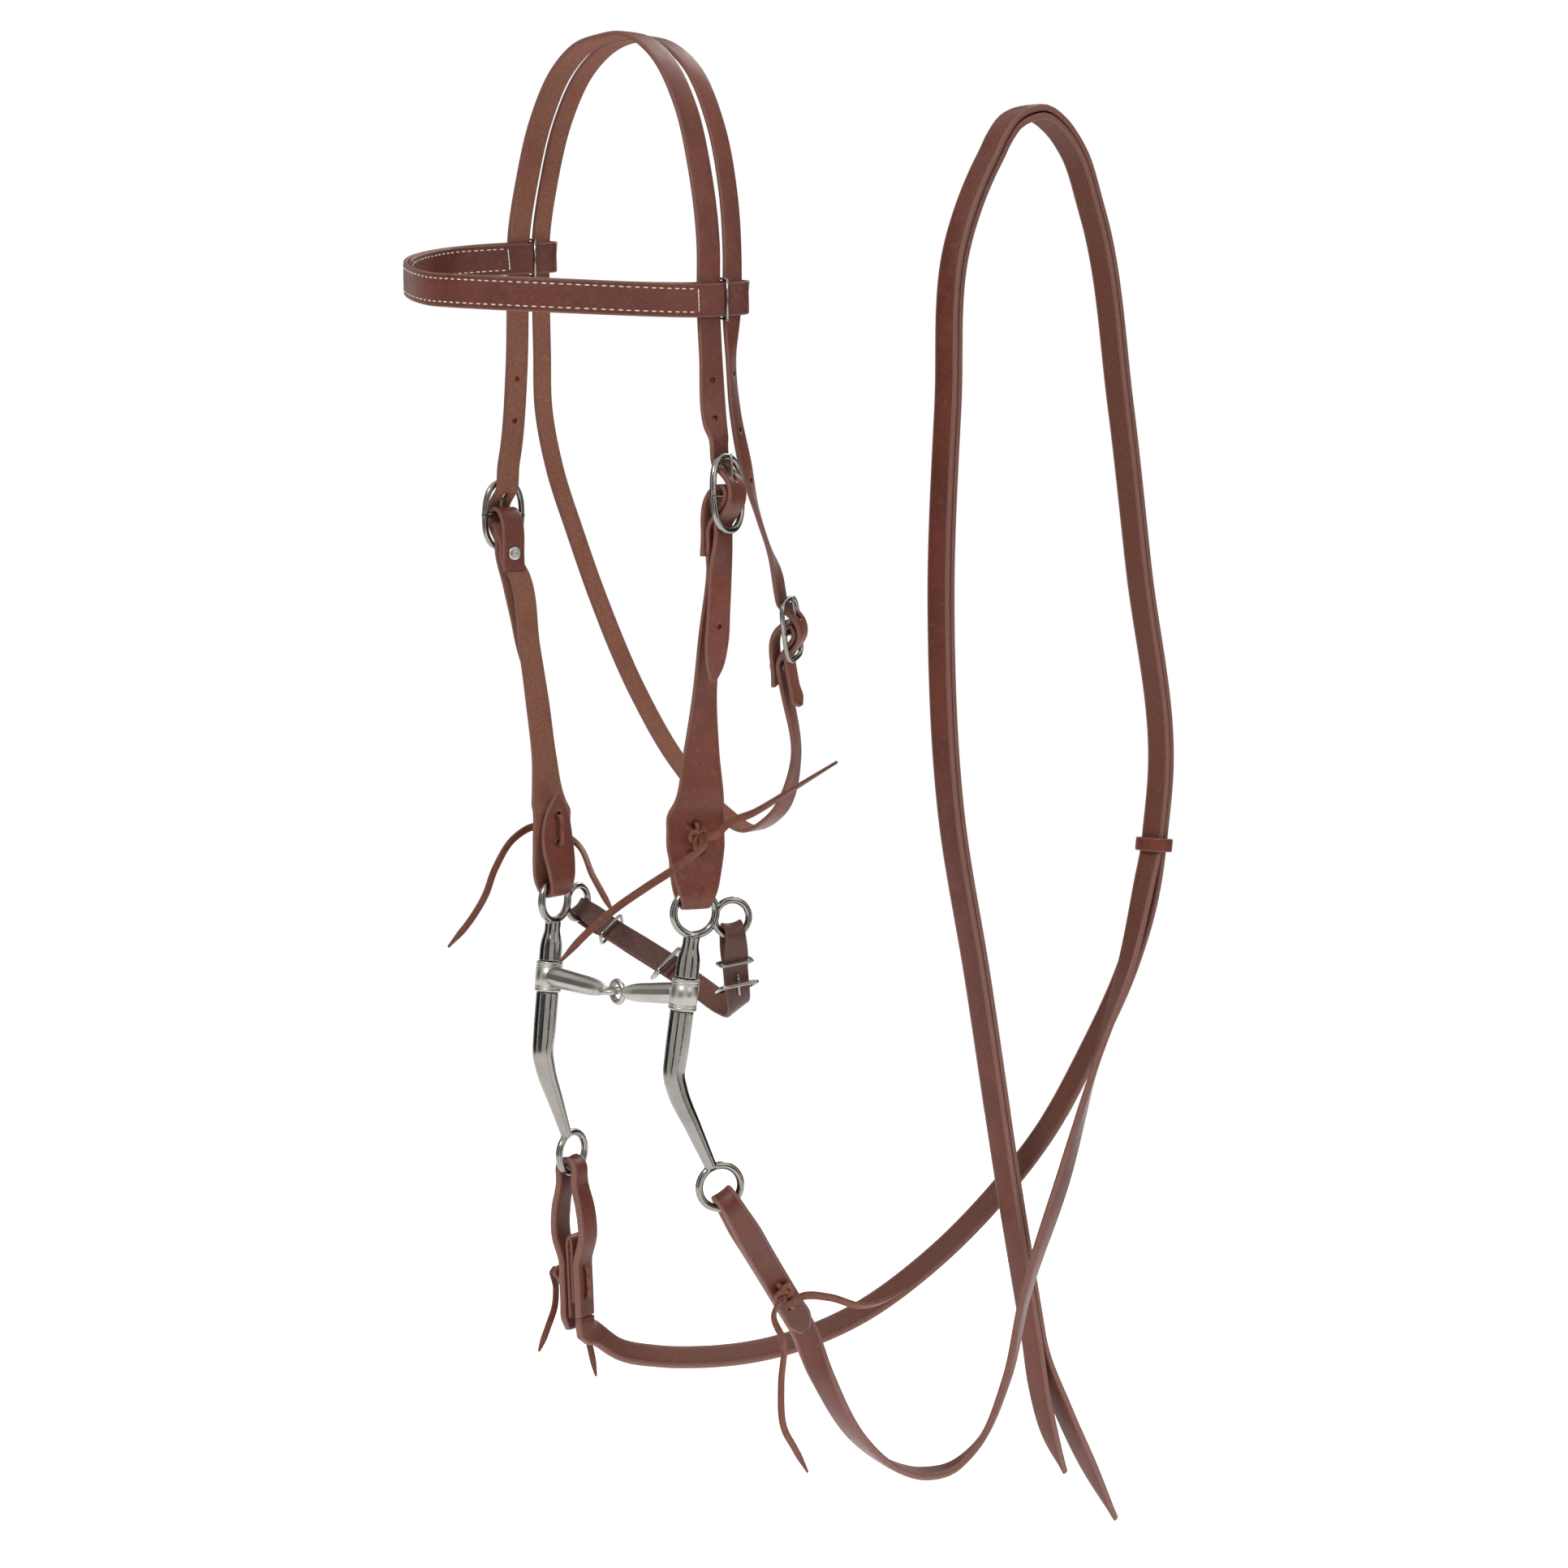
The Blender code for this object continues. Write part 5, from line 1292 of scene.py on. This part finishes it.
RIGHT_REIN_LOW = [
    ((-73, 26, -816), (-0.45, 0.85, 0.3)), ((-70, 42, -829), (-0.6, 0.6, 0.5)),
    ((-66, 71, -839), (-0.66, 0.52, 0.54)), ((-60, 100, -844), (-0.66, 0.52, 0.54)),
    ((-50, 155, -846), (-0.70, 0.40, 0.56)), ((-40, 218, -834), (-0.75, 0.25, 0.58)),
    ((-30, 283, -802), (-0.79, 0.10, 0.58)), ((-20, 335, -761), (-0.81, 0.0, 0.57)),
    ((-10, 373, -718), (-0.86, -0.05, 0.45)), ((0, 402, -667), (-0.93, -0.1, 0.25)),
    ((12, 430, -603), (-0.96, -0.2, 0.1)), ((17, 443, -558), (-0.97, -0.24, 0)),
]
LOOP_FACE = (-0.97, -0.26, 0)


def shared_rows(outward):
    """The part where both reins run together, moved outwards from the loop's middle line."""
    face = Vector(LOOP_FACE).normalized()
    middle = smooth([row(place, face, REIN_WIDTH / MM) for place in SHARED_LOOP], 13 * MM)
    places = [Vector(r[:3]) for r in middle]
    rows = []
    for i, place in enumerate(places):
        ahead = places[min(i + 1, len(places) - 1)] - places[max(i - 1, 0)]
        away = face.cross(ahead).normalized() * outward
        rows.append(row(place / MM + away, face, REIN_WIDTH / MM))
    return rows


def rein(side_name):
    """The long strap, from just behind its tie to its pointed end. It is attached to no body."""
    low, tip, outward = {
        "left": (LEFT_REIN_LOW, LEFT_TIP, 0),
        "right": (RIGHT_REIN_LOW, RIGHT_TIP, REIN_GAP),
    }[side_name]
    start, inner = REIN_START[side_name], -REIN_PLY[side_name]
    width = REIN_WIDTH / MM
    first = [(inner, start + REIN_SEAM), (inner, start + 9)]
    rows = hung_rows(REIN_FOLD[side_name], first, REIN_FACE[side_name], width)
    rows += [row(place, across, width) for place, across in low]
    rows += shared_rows(outward)
    rows += [row(place, LOOP_FACE, w) for place, w in tip]
    made = strap(f"{side_name}_long_rein", rows, REIN_LEATHER, (0.5, (0, 1, 0)), 5 * MM)
    obj = dress(made, "rein", None, [f"{side_name}_rein"])
    path = [Vector(r[:3]) for r in smooth(rows, 20 * MM)]
    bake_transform(obj)


def rein_end(side_name):
    """The end of a rein, folded round the bottom ring and back on itself. It carries on as the long rein."""
    ply = REIN_PLY[side_name]
    opened = {"left": 0.6, "right": 4.4}[side_name]
    low, high = REIN_TIE[side_name]
    leg = [(ply, high + 3), (ply, high - 3), (ply, low + 3), (ply, low - 3), (ply + 0.6 + opened, 42)]
    leg += [(5.4 + opened, 22), (6.2, 8)]
    fold = [(5.3, -4.6), (0, -7.7), (-5.3, -4.6)]
    profile = [(ply, high + 22), (ply, high + 14)] + leg + fold
    profile += [(-out, down) for out, down in leg[::-1]] + [(-ply, REIN_START[side_name])]
    frame = REIN_FOLD[side_name]
    rows = hung_rows(frame, profile, REIN_FACE[side_name], REIN_WIDTH / MM)
    rows[0] = (*rows[0][:6], 9 * MM)
    slots = [slot_at(frame, out, down, 2.5) for down in (low, high) for out in (ply, -ply)]
    grain = (0.15, frame.to_3x3() @ Vector((0, 1, 0)))
    obj = strap(f"{side_name}_rein_loop", rows, REIN_LEATHER, grain, 2 * MM)
    cup(obj, frame, RING_RADIUS)
    punch(obj, REIN_LEATHER, cuts_at(rows, slots, 2.4 * MM))
    return dress(obj, "rein", f"{side_name}_shank_body", [f"{side_name}_rein_end"])


def rein_tie_depth(side_name):
    return REIN_PLY[side_name] + REIN_LEATHER / 2 / MM + 1.9


def rein_tie(side_name):
    half_depth = rein_tie_depth(side_name)
    low, high = REIN_TIE[side_name]
    place, body = REIN_FOLD[side_name], f"{side_name}_shank_body"
    return tie(f"{side_name}_rein_lace_tie", place, half_depth, -high, -low, -low - REIN_KNOT_DOWN, body)


def rein_tab():
    """A short strap folded over the lace between the two legs of the right rein's loop."""
    frame = REIN_FOLD["right"]
    low, high = REIN_TIE["right"]
    leg = [(1.7, high + 3), (1.7, high - 3), (1.7, low + 3), (1.7, low - 3), (1.8, 50), (1.3, 43.5)]
    profile = [(1.7, high + 13)] + leg + [(0, 41.5)] + [(-out, down) for out, down in leg[::-1]]
    rows = hung_rows(frame, profile, REIN_FACE["right"], 13)
    slots = [slot_at(frame, out, down, 2.5) for down in (low, high) for out in (1.7, -1.7)]
    obj = strap("right_rein_slip", rows, 2.2 * MM, (0.15, frame.to_3x3() @ Vector((0, 1, 0))))
    punch(obj, 2.2 * MM, cuts_at(rows, slots))
    return dress(obj, "strap", "right_shank_body", ["right_rein_tab"])


def rein_keeper():
    """A stitched leather loop that slides along both reins."""
    place, above = Vector(SHARED_LOOP[0]), Vector(SHARED_LOOP[1])
    along = (above - place).normalized()
    face = Vector(LOOP_FACE).normalized()
    away = face.cross(along).normalized()
    centre = place + away * REIN_GAP / 2 + along * 1.5
    half_width, half_depth = REIN_WIDTH / MM / 2 + 1.5, REIN_GAP / 2 + REIN_LEATHER / MM / 2 + 1.5
    corners = [
        (2, half_depth), (half_width, half_depth), (half_width, -half_depth), (-half_width, -half_depth),
        (-half_width, half_depth), (0, half_depth), (1.4, half_depth),
    ]  # fmt: skip
    rows = [row(centre + face * a + away * b, along, 9.5) for a, b in corners]
    obj = strap("rein_loop_keeper", rows, 1.8 * MM, (0.2, (-1, -1, 0)), 1.5 * MM)
    dress(obj, "rein", "rein_keeper_body", ["rein_keeper"])
    mesh = bmesh.new()
    front = centre - away * (half_depth + 1.0)
    for height in (-2.2, 2.2):
        for across in (-4, 0, 4):
            middle = (front + face * across + along * height) * MM
            stitch(mesh, middle, face, along, -away, 2.4 * MM)
    return dress(shade_smooth(add_mesh("keeper_stitches", mesh)), "thread", "rein_keeper_body")


# ---- build


def build():
    camera()
    studio()
    backdrop()
    for side_name in SIDES:
        rein(side_name)
    for name, route in LACES.items():
        lace_end(name, route)
    crown_strap()
    throatlatch_strap()
    hardware("throatlatch", THROAT_BUCKLE, THROAT_HARDWARE)
    browband()
    for side_name in SIDES:
        browband_staple(side_name)
        cheekpiece(side_name)
        hardware(f"{side_name}_cheek", CHEEK_BUCKLE[side_name], CHEEK_HARDWARE)
        shank(side_name)
        mouthpiece(side_name)
        cheek_lace(side_name)
        rein_end(side_name)
        rein_tie(side_name)
    curb_strap()
    curb_hardware()
    rein_tab()
    rein_keeper()


build()
